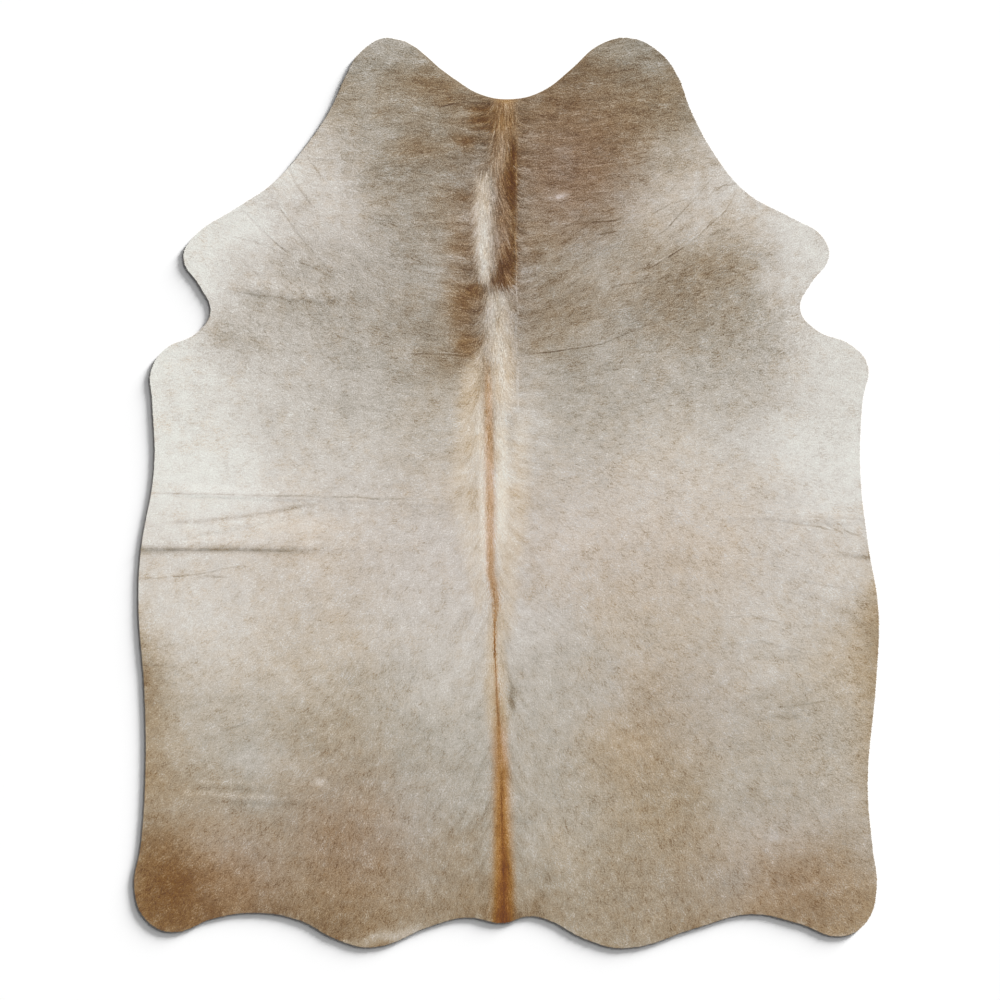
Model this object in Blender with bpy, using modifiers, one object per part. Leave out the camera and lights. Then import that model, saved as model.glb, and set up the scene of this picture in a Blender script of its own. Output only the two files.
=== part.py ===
"""A hair-on cowhide rug, laid out flat with its coat up.

Metres, +Z up. X runs across the hide, and +Y runs along the spine towards the neck.
The origin is on the floor, under the middle of the hide's bounding box.
The hide is one sheet: the leather, with its coat of short hair lying flat on it.
"""
import math

import bmesh
import bpy

NAME = "hide"
COLLECTION = "hair-on cowhide rug"

# Overall size of the hide as it lies.
WIDTH = 1.800
LENGTH = 2.200

# Leather and coat together: thickest along the spine, thinnest at the trimmed edge.
SPINE_THICKNESS = 0.0065
FLANK_THICKNESS = 0.0045
EDGE_THICKNESS = 0.0030
SPINE_SPREAD = 0.220
EDGE_BAND = 0.012

# How finely the sheet is divided, away from the folds and across them.
PLAIN_STEP = 0.070
FOLD_STEP = 0.009
SOFT_FOLD_STEP = 0.016
CURVE_STEPS = 5
SNAP = 0.0025

# The trimmed outline, clockwise from the neck. Columns: landmark, x, y.
NECK = (
    ("notch", 0.013, 0.954),
    ("right ear root", 0.086, 0.973),
    ("right ear inner side", 0.161, 1.030),
    ("right ear crown", 0.221, 1.083),
    ("right ear tip", 0.294, 1.102),
    ("right ear outer crown", 0.369, 1.069),
    ("right ear outer side", 0.417, 1.006),
)
RIGHT_FORELEG = (
    ("neck side", 0.444, 0.933),
    ("neck hollow", 0.506, 0.817),
    ("shoulder", 0.584, 0.725),
    ("shoulder point", 0.693, 0.665),
    ("foreleg crown", 0.765, 0.621),
    ("foreleg tip", 0.782, 0.571),
    ("foreleg lower side", 0.739, 0.508),
    ("armpit", 0.712, 0.445),
    ("armpit lower side", 0.751, 0.394),
    ("elbow crown", 0.835, 0.358),
    ("elbow", 0.876, 0.309),
)
RIGHT_FLANK = (
    ("chest", 0.864, 0.225),
    ("girth", 0.858, 0.050),
    ("upper belly", 0.877, -0.126),
    ("belly", 0.902, -0.283),
    ("lower belly", 0.897, -0.452),
    ("flank hollow", 0.876, -0.706),
    ("thigh", 0.888, -0.863),
    ("hind corner", 0.898, -0.957),
    ("hind corner lower side", 0.872, -1.042),
)
HIND_EDGE = (
    ("right tip", 0.811, -1.075),
    ("right shallow", 0.710, -1.044),
    ("right hollow", 0.594, -1.021),
    ("right slope", 0.468, -1.052),
    ("right lobe", 0.284, -1.104),
    ("right lobe inner side", 0.190, -1.081),
    ("right of the tail", 0.098, -1.034),
    ("right tail hollow", 0.052, -1.026),
    ("tail", -0.006, -1.043),
    ("left tail hollow", -0.095, -1.029),
    ("left of the tail", -0.180, -1.049),
    ("left lobe", -0.325, -1.102),
    ("left lobe outer side", -0.415, -1.081),
    ("left slope", -0.499, -1.037),
    ("left hollow", -0.608, -1.018),
    ("left shallow", -0.712, -1.032),
    ("left tip", -0.809, -1.065),
)
LEFT_FLANK = (
    ("hind corner lower side", -0.872, -1.037),
    ("hind corner", -0.902, -0.965),
    ("thigh", -0.886, -0.851),
    ("flank hollow", -0.875, -0.670),
    ("lower belly", -0.878, -0.476),
    ("belly", -0.892, -0.278),
    ("fold end", -0.887, -0.145),
    ("girth", -0.854, 0.060),
    ("chest", -0.859, 0.225),
)
LEFT_FORELEG = (
    ("elbow", -0.862, 0.293),
    ("elbow crown", -0.830, 0.346),
    ("armpit lower side", -0.748, 0.389),
    ("armpit", -0.717, 0.440),
    ("foreleg lower side", -0.743, 0.500),
    ("foreleg tip", -0.783, 0.568),
    ("foreleg crown", -0.766, 0.611),
    ("shoulder point", -0.649, 0.693),
    ("shoulder", -0.569, 0.747),
    ("neck hollow", -0.487, 0.839),
    ("neck side", -0.424, 0.933),
    ("ear outer side", -0.390, 1.008),
    ("ear outer crown", -0.352, 1.069),
    ("ear tip", -0.282, 1.102),
    ("ear inner side", -0.132, 1.007),
    ("ear root", -0.064, 0.966),
)
OUTLINE = NECK + RIGHT_FORELEG + RIGHT_FLANK + HIND_EDGE + LEFT_FLANK + LEFT_FORELEG

# Folds left from storage. Each runs from a start to an end, a ridge that rises softly from
# its neck side and drops steeply on its tail side. It lies flat where it starts, at the trimmed
# edge, and reaches its full height after the run-in.
# Columns: fold, start x, start y, end x, end y, start height, end height, soft reach, steep reach.
FOLDS = (
    ("left flank fold", -0.890, -0.1315, -0.330, -0.1345, 0.0062, 0.0010, 0.034, 0.012),
    ("left girth fold", -0.850, 0.002, -0.161, -0.027, 0.0032, 0.0014, 0.026, 0.012),
    ("left slanting fold", -0.862, -0.122, -0.403, -0.031, 0.0026, 0.0014, 0.024, 0.014),
    ("left armpit fold", -0.690, 0.498, -0.430, 0.466, 0.0034, 0.0020, 0.034, 0.022),
    ("right girth fold", 0.870, -0.069, 0.560, -0.058, 0.0034, 0.0010, 0.026, 0.014),
    ("right slanting fold", 0.860, -0.150, 0.700, -0.210, 0.0022, 0.0008, 0.040, 0.030),
)
FOLD_RUNIN = 0.10
FOLD_RUNOUT = 0.10

# Low swells where the hide does not lie quite flat. Columns: place, x, y, x reach, y reach, height.
SWELLS = (
    ("left armpit", -0.640, 0.360, 0.130, 0.090, 0.0030),
    ("right armpit", 0.650, 0.380, 0.130, 0.100, 0.0025),
    ("left belly edge", -0.800, -0.330, 0.100, 0.200, 0.0020),
    ("right flank edge", 0.800, -0.560, 0.110, 0.240, 0.0022),
    ("left hind corner", -0.780, -0.930, 0.130, 0.120, 0.0028),
    ("right hind lobe", 0.290, -1.000, 0.160, 0.090, 0.0020),
)

# Bands across the hide that hold folds. Columns: band, lowest y, highest y, step.
FOLD_BANDS = (
    ("girth and flank", -0.166, 0.034, FOLD_STEP),
    ("armpit", 0.440, 0.540, SOFT_FOLD_STEP),
)
SPINE_LINES = (-0.036, -0.014, 0.014, 0.036)

COAT_COLOUR = (0.546, 0.468, 0.381, 1.0)
COAT_ROUGHNESS = 0.78


def clear_scene():
    for old in list(bpy.data.objects):
        bpy.data.objects.remove(old, do_unlink=True)


def outline_loop():
    """Return the smooth trimmed outline as a closed loop of edges, fitted to the hide's size."""
    curve = bpy.data.curves.new("outline", type="CURVE")
    curve.dimensions = "2D"
    curve.fill_mode = "NONE"
    curve.resolution_u = CURVE_STEPS
    spline = curve.splines.new("BEZIER")
    spline.bezier_points.add(len(OUTLINE) - 1)
    spline.use_cyclic_u = True
    for point, (_landmark, x, y) in zip(spline.bezier_points, OUTLINE):
        point.co = (x, y, 0.0)
        point.handle_left_type = "AUTO"
        point.handle_right_type = "AUTO"
    holder = bpy.data.objects.new("outline", curve)
    bpy.context.scene.collection.objects.link(holder)
    depsgraph = bpy.context.evaluated_depsgraph_get()
    mesh = bpy.data.meshes.new_from_object(holder.evaluated_get(depsgraph))
    bpy.data.objects.remove(holder, do_unlink=True)
    for axis, size in ((0, WIDTH), (1, LENGTH)):
        low = min(vertex.co[axis] for vertex in mesh.vertices)
        high = max(vertex.co[axis] for vertex in mesh.vertices)
        for vertex in mesh.vertices:
            vertex.co[axis] = ((vertex.co[axis] - low) / (high - low) - 0.5) * size
    return mesh


def cut_lines(low, high):
    """Return the places of evenly spaced cuts between two ends."""
    count = math.ceil((high - low) / PLAIN_STEP)
    return [low + (high - low) * i / count for i in range(1, count)]


def column_places():
    half = WIDTH / 2.0
    sides = cut_lines(-half, SPINE_LINES[0]) + cut_lines(SPINE_LINES[-1], half)
    return sorted(sides + list(SPINE_LINES))


def row_places():
    """Return the rows: plain ones between the fold bands, close ones inside them."""
    places = []
    start = -LENGTH / 2.0
    for _band, low, high, step in FOLD_BANDS:
        places += cut_lines(start, low)
        count = round((high - low) / step)
        places += [low + (high - low) * i / count for i in range(count + 1)]
        start = high
    return places + cut_lines(start, LENGTH / 2.0)


def smooth(t):
    """Return a step from 0 to 1 with level ends."""
    t = min(max(t, 0.0), 1.0)
    return t * t * (3.0 - 2.0 * t)


def fold_height(x, y, fold):
    """Return how far one fold lifts the sheet at a place."""
    _name, x0, y0, x1, y1, start_height, end_height, soft, steep = fold
    run = math.hypot(x1 - x0, y1 - y0)
    along = ((x - x0) * (x1 - x0) + (y - y0) * (y1 - y0)) / run
    t = min(max(along / run, 0.0), 1.0)
    ridge_y = y0 + (y1 - y0) * t
    side = y - ridge_y
    reach = soft if side > 0.0 else steep
    past_end = max(along - run, 0.0)
    height = (start_height + (end_height - start_height) * t) * smooth(along / FOLD_RUNIN)
    return height * smooth(1.0 - abs(side) / reach) * smooth(1.0 - past_end / FOLD_RUNOUT)


def lift(x, y):
    """Return the height of the underside: nought but for the folds and swells."""
    height = sum(fold_height(x, y, fold) for fold in FOLDS)
    for _place, cx, cy, rx, ry, rise in SWELLS:
        height += rise * smooth(1.0 - math.hypot((x - cx) / rx, (y - cy) / ry))
    return height


def thickness(vertex):
    """Return the sheet's thickness: full at the spine, less at the flanks, least at the edge."""
    if vertex.is_boundary:
        return EDGE_THICKNESS
    nearness = math.exp(-(vertex.co.x / SPINE_SPREAD) ** 2)
    return FLANK_THICKNESS + (SPINE_THICKNESS - FLANK_THICKNESS) * nearness


def cut_across(bm, axis, places):
    for place in places:
        point = [0.0, 0.0, 0.0]
        normal = [0.0, 0.0, 0.0]
        point[axis] = place
        normal[axis] = 1.0
        everything = bm.verts[:] + bm.edges[:] + bm.faces[:]
        bmesh.ops.bisect_plane(bm, geom=everything, dist=SNAP, plane_co=point, plane_no=normal)


def coat_material():
    material = bpy.data.materials.new("cream and taupe coat")
    material.use_nodes = True
    shader = material.node_tree.nodes["Principled BSDF"]
    shader.inputs["Base Color"].default_value = COAT_COLOUR
    shader.inputs["Roughness"].default_value = COAT_ROUGHNESS
    shader.inputs["Metallic"].default_value = 0.0
    return material


def build_hide(collection):
    """Make the hide: a divided flat sheet, lifted at its folds, then given its thickness."""
    mesh = outline_loop()
    bm = bmesh.new()
    bm.from_mesh(mesh)
    sheet = bmesh.ops.contextual_create(bm, geom=bm.edges[:])["faces"]
    if sheet[0].normal.z < 0.0:
        bmesh.ops.reverse_faces(bm, faces=sheet)
    bmesh.ops.inset_region(bm, faces=sheet, thickness=EDGE_BAND, use_boundary=True,
                           use_even_offset=True)
    cut_across(bm, 0, column_places())
    cut_across(bm, 1, row_places())
    bmesh.ops.triangulate(bm, faces=bm.faces[:])
    shares = [thickness(vertex) / SPINE_THICKNESS for vertex in bm.verts]
    for vertex in bm.verts:
        vertex.co.z = lift(vertex.co.x, vertex.co.y)
    bm.to_mesh(mesh)
    bm.free()

    mesh.name = NAME
    hide = bpy.data.objects.new(NAME, mesh)
    collection.objects.link(hide)
    group = hide.vertex_groups.new(name="thickness")
    for index, share in enumerate(shares):
        group.add([index], share, "REPLACE")
    solid = hide.modifiers.new("leather and coat", "SOLIDIFY")
    solid.thickness = SPINE_THICKNESS
    solid.offset = 1.0
    solid.vertex_group = group.name
    solid.thickness_vertex_group = 0.0
    mesh.materials.append(coat_material())
    mesh.shade_smooth()
    return hide


def main():
    clear_scene()
    collection = bpy.data.collections.new(COLLECTION)
    bpy.context.scene.collection.children.link(collection)
    build_hide(collection)


main()
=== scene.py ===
"""Dresses a flat hair-on hide: its suede skin, its coat of laid hair, floor, light and camera."""

import functools

import bpy
import numpy as np
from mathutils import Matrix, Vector
from mathutils.geometry import delaunay_2d_cdt


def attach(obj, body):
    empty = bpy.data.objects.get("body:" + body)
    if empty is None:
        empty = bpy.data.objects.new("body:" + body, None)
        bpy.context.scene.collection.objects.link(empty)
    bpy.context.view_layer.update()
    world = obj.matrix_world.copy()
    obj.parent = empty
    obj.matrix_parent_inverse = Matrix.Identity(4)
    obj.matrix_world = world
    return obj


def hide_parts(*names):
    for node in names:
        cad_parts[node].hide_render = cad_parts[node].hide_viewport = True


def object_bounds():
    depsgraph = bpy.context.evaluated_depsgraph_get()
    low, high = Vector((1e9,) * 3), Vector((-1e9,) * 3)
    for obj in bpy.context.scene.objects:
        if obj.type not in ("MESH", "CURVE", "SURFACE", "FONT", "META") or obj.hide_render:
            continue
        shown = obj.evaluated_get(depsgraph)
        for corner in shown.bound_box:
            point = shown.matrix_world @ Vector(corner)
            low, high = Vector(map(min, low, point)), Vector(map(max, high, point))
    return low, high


bl_info = {
    "name": "Hair-on hide",
    "version": (1, 0, 0),
    "blender": (4, 5, 0),
    "location": "View3D > Sidebar > Hide",
    "description": "Lays a hair-on hide: suede skin, coat of hair, floor, light and camera",
    "category": "Object",
}

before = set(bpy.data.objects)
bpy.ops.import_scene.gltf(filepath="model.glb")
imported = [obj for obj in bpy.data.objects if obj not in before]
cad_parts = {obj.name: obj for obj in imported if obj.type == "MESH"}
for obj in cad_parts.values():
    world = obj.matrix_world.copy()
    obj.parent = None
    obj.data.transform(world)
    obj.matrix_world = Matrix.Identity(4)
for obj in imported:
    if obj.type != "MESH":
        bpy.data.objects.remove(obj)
CAD_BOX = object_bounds()
CAD_LOW = Vector(CAD_BOX[0])
CAD_HIGH = Vector(CAD_BOX[1])


def metres(value):
    """Turn millimetres to metres: one number, or every number of a tuple."""
    if isinstance(value, tuple):
        return tuple(metres(part) for part in value)
    return round(value / 1000.0, 7)


def in_metres(lengths, rows):
    """Turn a table's first columns of lengths to metres, leaving its names and other columns."""
    table = []
    for row in rows:
        first = int(isinstance(row[0], str))
        last = first + lengths
        table.append((*row[:first], *metres(row[first:last]), *row[last:]))
    return tuple(table)


# The tables give places and lengths in millimetres: x across the hide, y along the spine towards
# the neck. The first argument of in_metres counts a table's columns of lengths after the name.
# All other lengths are in metres.

# Storage folds: a soft rise on the neck side of each, a steep drop on its tail side.
# Columns: fold, start x, start y, end x, end y, start height, end height, soft reach, steep reach.
FOLDS = in_metres(8, (
    ("left flank fold", -890, -131.5, -330, -134.5, 6.2, 1, 34, 12),
    ("left girth fold", -850, 2, -161, -27, 3.2, 1.4, 26, 12),
    ("left slanting fold", -862, -122, -403, -31, 2.6, 1.4, 24, 14),
    ("left armpit fold", -690, 498, -430, 466, 3.4, 2, 34, 22),
    ("right girth fold", 870, -69, 560, -58, 3.4, 1, 26, 14),
    ("right slanting fold", 860, -150, 700, -210, 2.2, 0.8, 40, 30),
))
# A fold rises over FOLD_RUNIN from its start and dies away over FOLD_RUNOUT past its end.
FOLD_RUNIN = 0.10
FOLD_RUNOUT = 0.10

# Low swells where the hide does not lie quite flat. Columns: place, x, y, x reach, y reach, height.
SWELLS = in_metres(5, (
    ("left armpit", -640, 360, 130, 90, 3),
    ("right armpit", 650, 380, 130, 100, 2.5),
    ("left belly edge", -800, -330, 100, 200, 2),
    ("right flank edge", 800, -560, 110, 240, 2.2),
    ("left hind corner", -780, -930, 130, 120, 2.8),
    ("right hind lobe", 290, -1000, 160, 90, 2),
))

# Fine creases and wrinkles in the coat. A shade above nought is painted shade in the crease, and one
# under nought a painted highlight on a pale raised line. The spine line and the tail line draw dark lines
# of hair colour in the same way, and the lines beside the spine draw pale lines.
# Those at least as wide as SOFT_CREASE are soft bands of painted shade and highlight, the others thin
# drawn lines.
# Columns: crease, its points, half width, shade where it starts, shade where it ends.
CREASES = in_metres(2, (
    ("left shoulder 1", ((-530, 795), (-510, 748), (-493, 724), (-461, 680)), 1.6, 0.35, 0.3),
    ("left shoulder 2", ((-550, 691), (-527, 659), (-510, 632), (-489, 608), (-459, 573)),
     1.8, 0.6, 0.3),
    ("left shoulder 3", ((-639, 686), (-608, 653), (-584, 629), (-557, 603), (-520, 574)),
     1.6, 0.25, 0.6),
    ("left shoulder 4", ((-660, 619), (-608, 607), (-578, 595), (-543, 581)), 1.6, 0.35, 0.15),
    ("left shoulder 5", ((-510, 561), (-476, 550), (-408, 513), (-363, 496)), 2, 0.15, 0.3),
    ("left shoulder 6", ((-473, 801), (-452, 770), (-443, 743)), 1.6, 0.4, 0.25),
    ("left shoulder 7", ((-601, 714), (-544, 697), (-493, 687), (-442, 678)), 7, 0.14, 0.08),
    ("left shoulder 8", ((-350, 560), (-314, 555)), 1.6, 0.6, 0.4),
    ("left shoulder 9", ((-475, 806), (-410, 806), (-350, 803)), 1.4, 0.25, 0.12),
    ("left armpit", ((-672, 494), (-654, 488), (-620, 481), (-528, 469), (-432, 464)), 2.2, 0.3, 0.12),
    ("left armpit dip", ((-640, 480), (-528, 461), (-400, 458)), 10, 0.22, 0.14),
    ("left back", ((-248, 336), (-161, 336), (-69, 329)), 1.6, 0.45, 0.75),
    ("neck", ((-161, 933), (-108, 945), (-57, 943), (-26, 938)), 1.8, 0.5, 0.8),
    ("right shoulder 1", ((557, 731), (544, 704), (527, 678), (500, 656), (469, 625), (435, 598),
     (401, 576), (360, 550), (323, 533)), 1.7, 0.25, 0.65),
    ("right shoulder 2", ((513, 775), (486, 749), (469, 724), (442, 698), (415, 669), (384, 634),
     (347, 612)), 1.6, 0.25, 0.5),
    ("right shoulder 3", ((442, 712), (398, 699), (367, 683), (346, 666)), 1.6, 0.5, 0.4),
    ("right shoulder 4", ((554, 748), (527, 744), (499, 731), (483, 704)), 1.6, 0.4, 0.3),
    ("right shoulder 5", ((406, 741), (387, 717)), 1.5, 0.4, 0.25),
    ("right shoulder 6", ((401, 780), (373, 766), (340, 748)), 1.6, 0.4, 0.2),
    ("right shoulder 7", ((540, 637), (513, 629), (480, 618)), 1.6, 0.4, 0.15),
    ("right shoulder 8", ((619, 663), (581, 629), (540, 595)), 5, -0.12, -0.06),
    ("right withers 1", ((279, 664), (260, 658), (233, 656), (185, 652), (134, 646)), 1.8, 0.5, 0.2),
    ("right withers 2", ((284, 633), (255, 631), (231, 625), (204, 621)), 1.8, 0.2, 0.4),
    ("right withers 3", ((299, 604), (274, 603), (253, 595), (226, 578)), 1.7, 0.2, 0.4),
    ("right withers 4", ((330, 510), (274, 503), (245, 494)), 2, 0.2, 0.4),
    ("right withers 5", ((197, 515), (183, 509)), 1.8, 0.35, 0.35),
    ("right neck", ((461, 834), (323, 805), (187, 786), (37, 776)), 1.8, -0.12, -0.2),
    ("right back", ((37, 334), (110, 341), (226, 358), (335, 404), (381, 423)), 1.6, 0.6, 0.2),
    ("beside the spine 1", ((21, 950), (24, 905), (21, 870), (25, 838), (22, 800), (24, 760),
     (23, 700)), 1.4, -0.2, -0.32),
    ("beside the spine 2", ((23, 715), (25, 660), (22, 610), (24, 560), (24, 490)), 1.4, -0.34, -0.22),
    ("beside the spine 3", ((24, 500), (26, 440), (24, 380), (25, 310), (26, 200)), 1.3, -0.2, -0.05),
    ("spine line", ((-28.5, -300), (-28.5, -367), (-25, -450), (-23.2, -500), (-19.5, -550),
     (-17.2, -595)), 2, 0.4, 0.36),
    ("tail line", ((-14, -690), (-11.5, -742), (-9, -860), (-6, -950), (-4, -1045)), 2, 0.1, 0.16),
    ("right girth 1", ((654, -67), (711, -77), (756, -81), (776, -88), (803, -91)), 1.8, 0.44, 0.6),
    ("right girth 2", ((759, -67), (789, -86), (817, -99)), 1.6, 0.35, 0.55),
    ("right girth 3", ((803, -81), (827, -96), (850, -103)), 1.8, 0.55, 0.4),
    ("right girth 4", ((600, -46), (700, -54), (776, -60), (870, -64)), 1.6, 0.1, 0.3),
    ("right girth 5", ((690, -100), (770, -106), (830, -124), (870, -134)), 6, -0.1, -0.14),
    ("right belly curve", ((661, -235), (760, -255), (830, -290), (885, -350)), 6.5, 0.06, 0.16),
    ("right belly rise", ((700, -222), (780, -238), (860, -290)), 6, -0.08, -0.12),
    ("right flank 1", ((925, -160), (872, -156), (831, -152), (790, -143)), 6, 0.7, 0.15),
    ("right flank 2", ((711, -213), (756, -222), (810, -230)), 1.6, 0.2, 0.3),
    ("right belly 1", ((487, -305), (589, -297), (673, -317)), 1.8, 0.15, 0.25),
    ("right belly 2", ((533, -367), (620, -358), (717, -387)), 1.8, 0.12, 0.22),
    ("right thigh", ((589, -522), (690, -515), (787, -500)), 2, 0.12, 0.24),
    ("right wrinkle 1", ((577, -404), (650, -396), (710, -398)), 4.2, 0.1, 0.18),
    ("right wrinkle 2", ((565, -500), (620, -494), (685, -481)), 4.2, 0.2, 0.12),
    ("right wrinkle 3", ((589, -549), (680, -543), (758, -529)), 4.2, 0.12, 0.2),
    ("right wrinkle 4", ((552, -609), (610, -598), (661, -585)), 4.2, 0.14, 0.1),
    ("right wrinkle 5", ((577, -718), (650, -706), (710, -699)), 4.2, 0.16, 0.12),
    ("right wrinkle 6", ((613, -745), (700, -737), (782, -718)), 4.2, 0.1, 0.16),
    ("left wrinkle 1", ((-860, -372), (-760, -362), (-680, -350)), 4.2, 0.12, 0.06),
    ("left wrinkle 2", ((-780, -520), (-700, -500), (-620, -486)), 4.2, 0.1, 0.14),
    ("left wrinkle 3", ((-800, -608), (-720, -592), (-660, -576)), 4.2, 0.1, 0.14),
    ("left girth 1", ((-880, 1), (-741, -2), (-644, -4), (-560, -7), (-499, -6), (-427, -11)),
     1.9, 0.44, 0.7),
    ("left girth 2", ((-440, -11), (-370, -9), (-316, -14), (-261, -14), (-190, -14), (-142, -17)),
     2.3, 0.75, 0.14),
    ("left slant", ((-841, -72), (-741, -68), (-681, -62), (-620, -55), (-560, -45), (-487, -31),
     (-440, -24)), 4.4, 0.34, 0.5),
    # The flank rows paint the flank fold's shade below it and its highlight above it.
    ("left flank 1", ((-975, -138), (-862, -138), (-777, -137), (-710, -134)), 11.5, 0.84, 0.2),
    ("left flank 2", ((-760, -136), (-700, -134), (-644, -135), (-548, -139), (-440, -141)),
     9.5, 0.5, 0.24),
    ("left flank line", ((-900, -137), (-777, -136), (-644, -136), (-500, -141)), 2.4, 0.06, 0.03),
    ("left flank pale", ((-975, -117), (-840, -119), (-740, -119)), 8, -0.1, -0.05),
    ("left belly 1", ((-880, -208), (-810, -203), (-741, -196), (-681, -183), (-632, -174)),
     1.4, 0.15, 0.45),
    ("left belly 2", ((-741, -203), (-660, -203)), 1.4, 0.2, 0.2),
    ("left edge 1", ((-890, -416), (-797, -416)), 2, 0.35, 0.15),
    ("left edge 2", ((-890, -566), (-794, -554), (-722, -529)), 5, -0.12, -0.06),
    ("left thigh", ((-676, -573), (-601, -546)), 1.8, 0.2, 0.2),
    ("left hind 1", ((-755, -697), (-700, -698), (-650, -699), (-560, -702)), 5.4, -0.34, -0.16),
    ("left hind dip 1", ((-780, -711), (-700, -712), (-640, -716), (-520, -727)), 4.8, 0.18, 0.1),
    ("left hind 2", ((-800, -722), (-700, -728), (-640, -733), (-540, -736)), 5.6, -0.4, -0.24),
    ("left hind dip 2", ((-740, -742), (-700, -744), (-600, -749), (-480, -755)), 6, 0.14, 0.16),
    ("left hind 3", ((-530, -700), (-450, -704), (-400, -706)), 6, -0.16, -0.1),
))
SOFT_CREASE = 0.0040
# Share of a crease over which its shade eases in at one end and out at the other.
CREASE_EASE = 0.14
# A crease isn't looked for further than this around its points.
CREASE_REACH = 0.030
# A thin crease's groove and its painted shade on the coat spread this far past its half width.
GROOVE_DEPTH = 0.0014
GROOVE_SPREAD = 0.002
SHADE_SPREAD = 0.001
# Share of a thin crease's painted shade that is on the coat, and share on the fine locks that draw it.
COAT_SHARE = 0.36
LINE_SHARE = 0.38
LEAST_SHADE = -1.0
MOST_SHADE = 1.5
# The thinnest creases have a pale lip beside them, a painted highlight drawn by a row of fine locks set
# further apart.
LIPPED_CREASE = 0.0019
LIP_HIGHLIGHT = -0.60
LIP_OFFSET = 0.0022
LIP_SPACING = 1.4
# A drawn line bends softly: its place is the mean of these steps along it. Its locks stray to
# the sides by a share of its half width, and its shade comes and goes.
LINE_BEND = (-0.018, -0.009, 0.0, 0.009, 0.018)
LINE_STRAY = 0.22
LINE_BREAKS = (0.55, 0.9)

# The line of the spine. Columns: y, x.
SPINE = in_metres(2, (
    (-1050, -3), (-860, -10), (-650, -16), (-500, -23), (-270, -27), (-160, -37), (260, -37),
    (500, -25), (800, -20), (1000, -10),
))

# Where the coat parts and the hair runs to the tail, fanning out a little to both sides.
# Columns: y, x of the parting, reach to the left, reach to the right, fan in degrees.
PARTING = in_metres(4, (
    (-1050, -3, 40, 40, 34.0), (-500, -23, 44, 44, 36.0), (-160, -38, 66, 56, 46.0),
    (160, -42, 70, 52, 46.0), (320, -26, 46, 46, 16.0), (470, -22, 36, 44, 10.0),
    (500, -52, 24, 72, 26.0), (720, -54, 24, 74, 28.0), (780, -46, 26, 66, 16.0),
    (810, -6, 28, 26, 6.0), (1000, -2, 28, 24, 4.0),
))

# How the hair lies. The angle is from straight outwards, turned towards the tail.
# Columns: place, distance from the parting to either side, y, reach, angle in degrees.
LIE = in_metres(3, (
    ("ear", 300, 1030, 200, 2.0),
    ("neck", 180, 860, 200, 4.0),
    ("neck side", 400, 850, 200, -4.0),
    ("withers", 140, 620, 200, -6.0),
    ("shoulder", 420, 620, 200, -24.0),
    ("foreleg", 720, 580, 200, -22.0),
    ("shoulder blade", 160, 400, 200, -22.0),
    ("armpit", 520, 360, 200, -18.0),
    ("elbow", 800, 270, 200, 4.0),
    ("back", 150, 160, 200, 8.0),
    ("chest", 500, 140, 200, 4.0),
    ("side", 200, -80, 200, 26.0),
    ("girth", 700, -20, 200, 14.0),
    ("loin", 160, -360, 200, 56.0),
    ("belly", 620, -320, 200, 30.0),
    ("rump", 160, -680, 200, 66.0),
    ("flank", 660, -620, 200, 38.0),
    ("tail side", 140, -980, 200, 80.0),
    ("hind lobe", 400, -980, 200, 66.0),
    ("hind corner", 800, -980, 200, 42.0),
))
# How far the lie wanders, in degrees, and what being at the parting adds to that.
LIE_WANDER = (34.0, -20.0)
# How firm the parting's borders are.
PARTING_EDGE = 6

# Hair length, and how much the mane's hair stands up along the spine.
# Columns: y, length on the spine, length away from it, standing.
HAIR = in_metres(3, (
    (-1100, 11, 9, 0.05), (-500, 11, 9, 0.05), (0, 14, 9.8, 0.1), (300, 20, 11.5, 0.35),
    (500, 26, 13, 0.9), (1000, 30, 15, 1.0),
))
MANE_REACH = 0.045

# The borders of body tones and large markings wander. Small markings stay where they are put.
WAVE = 0.050
SMALL_MARKING = 0.03

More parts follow.
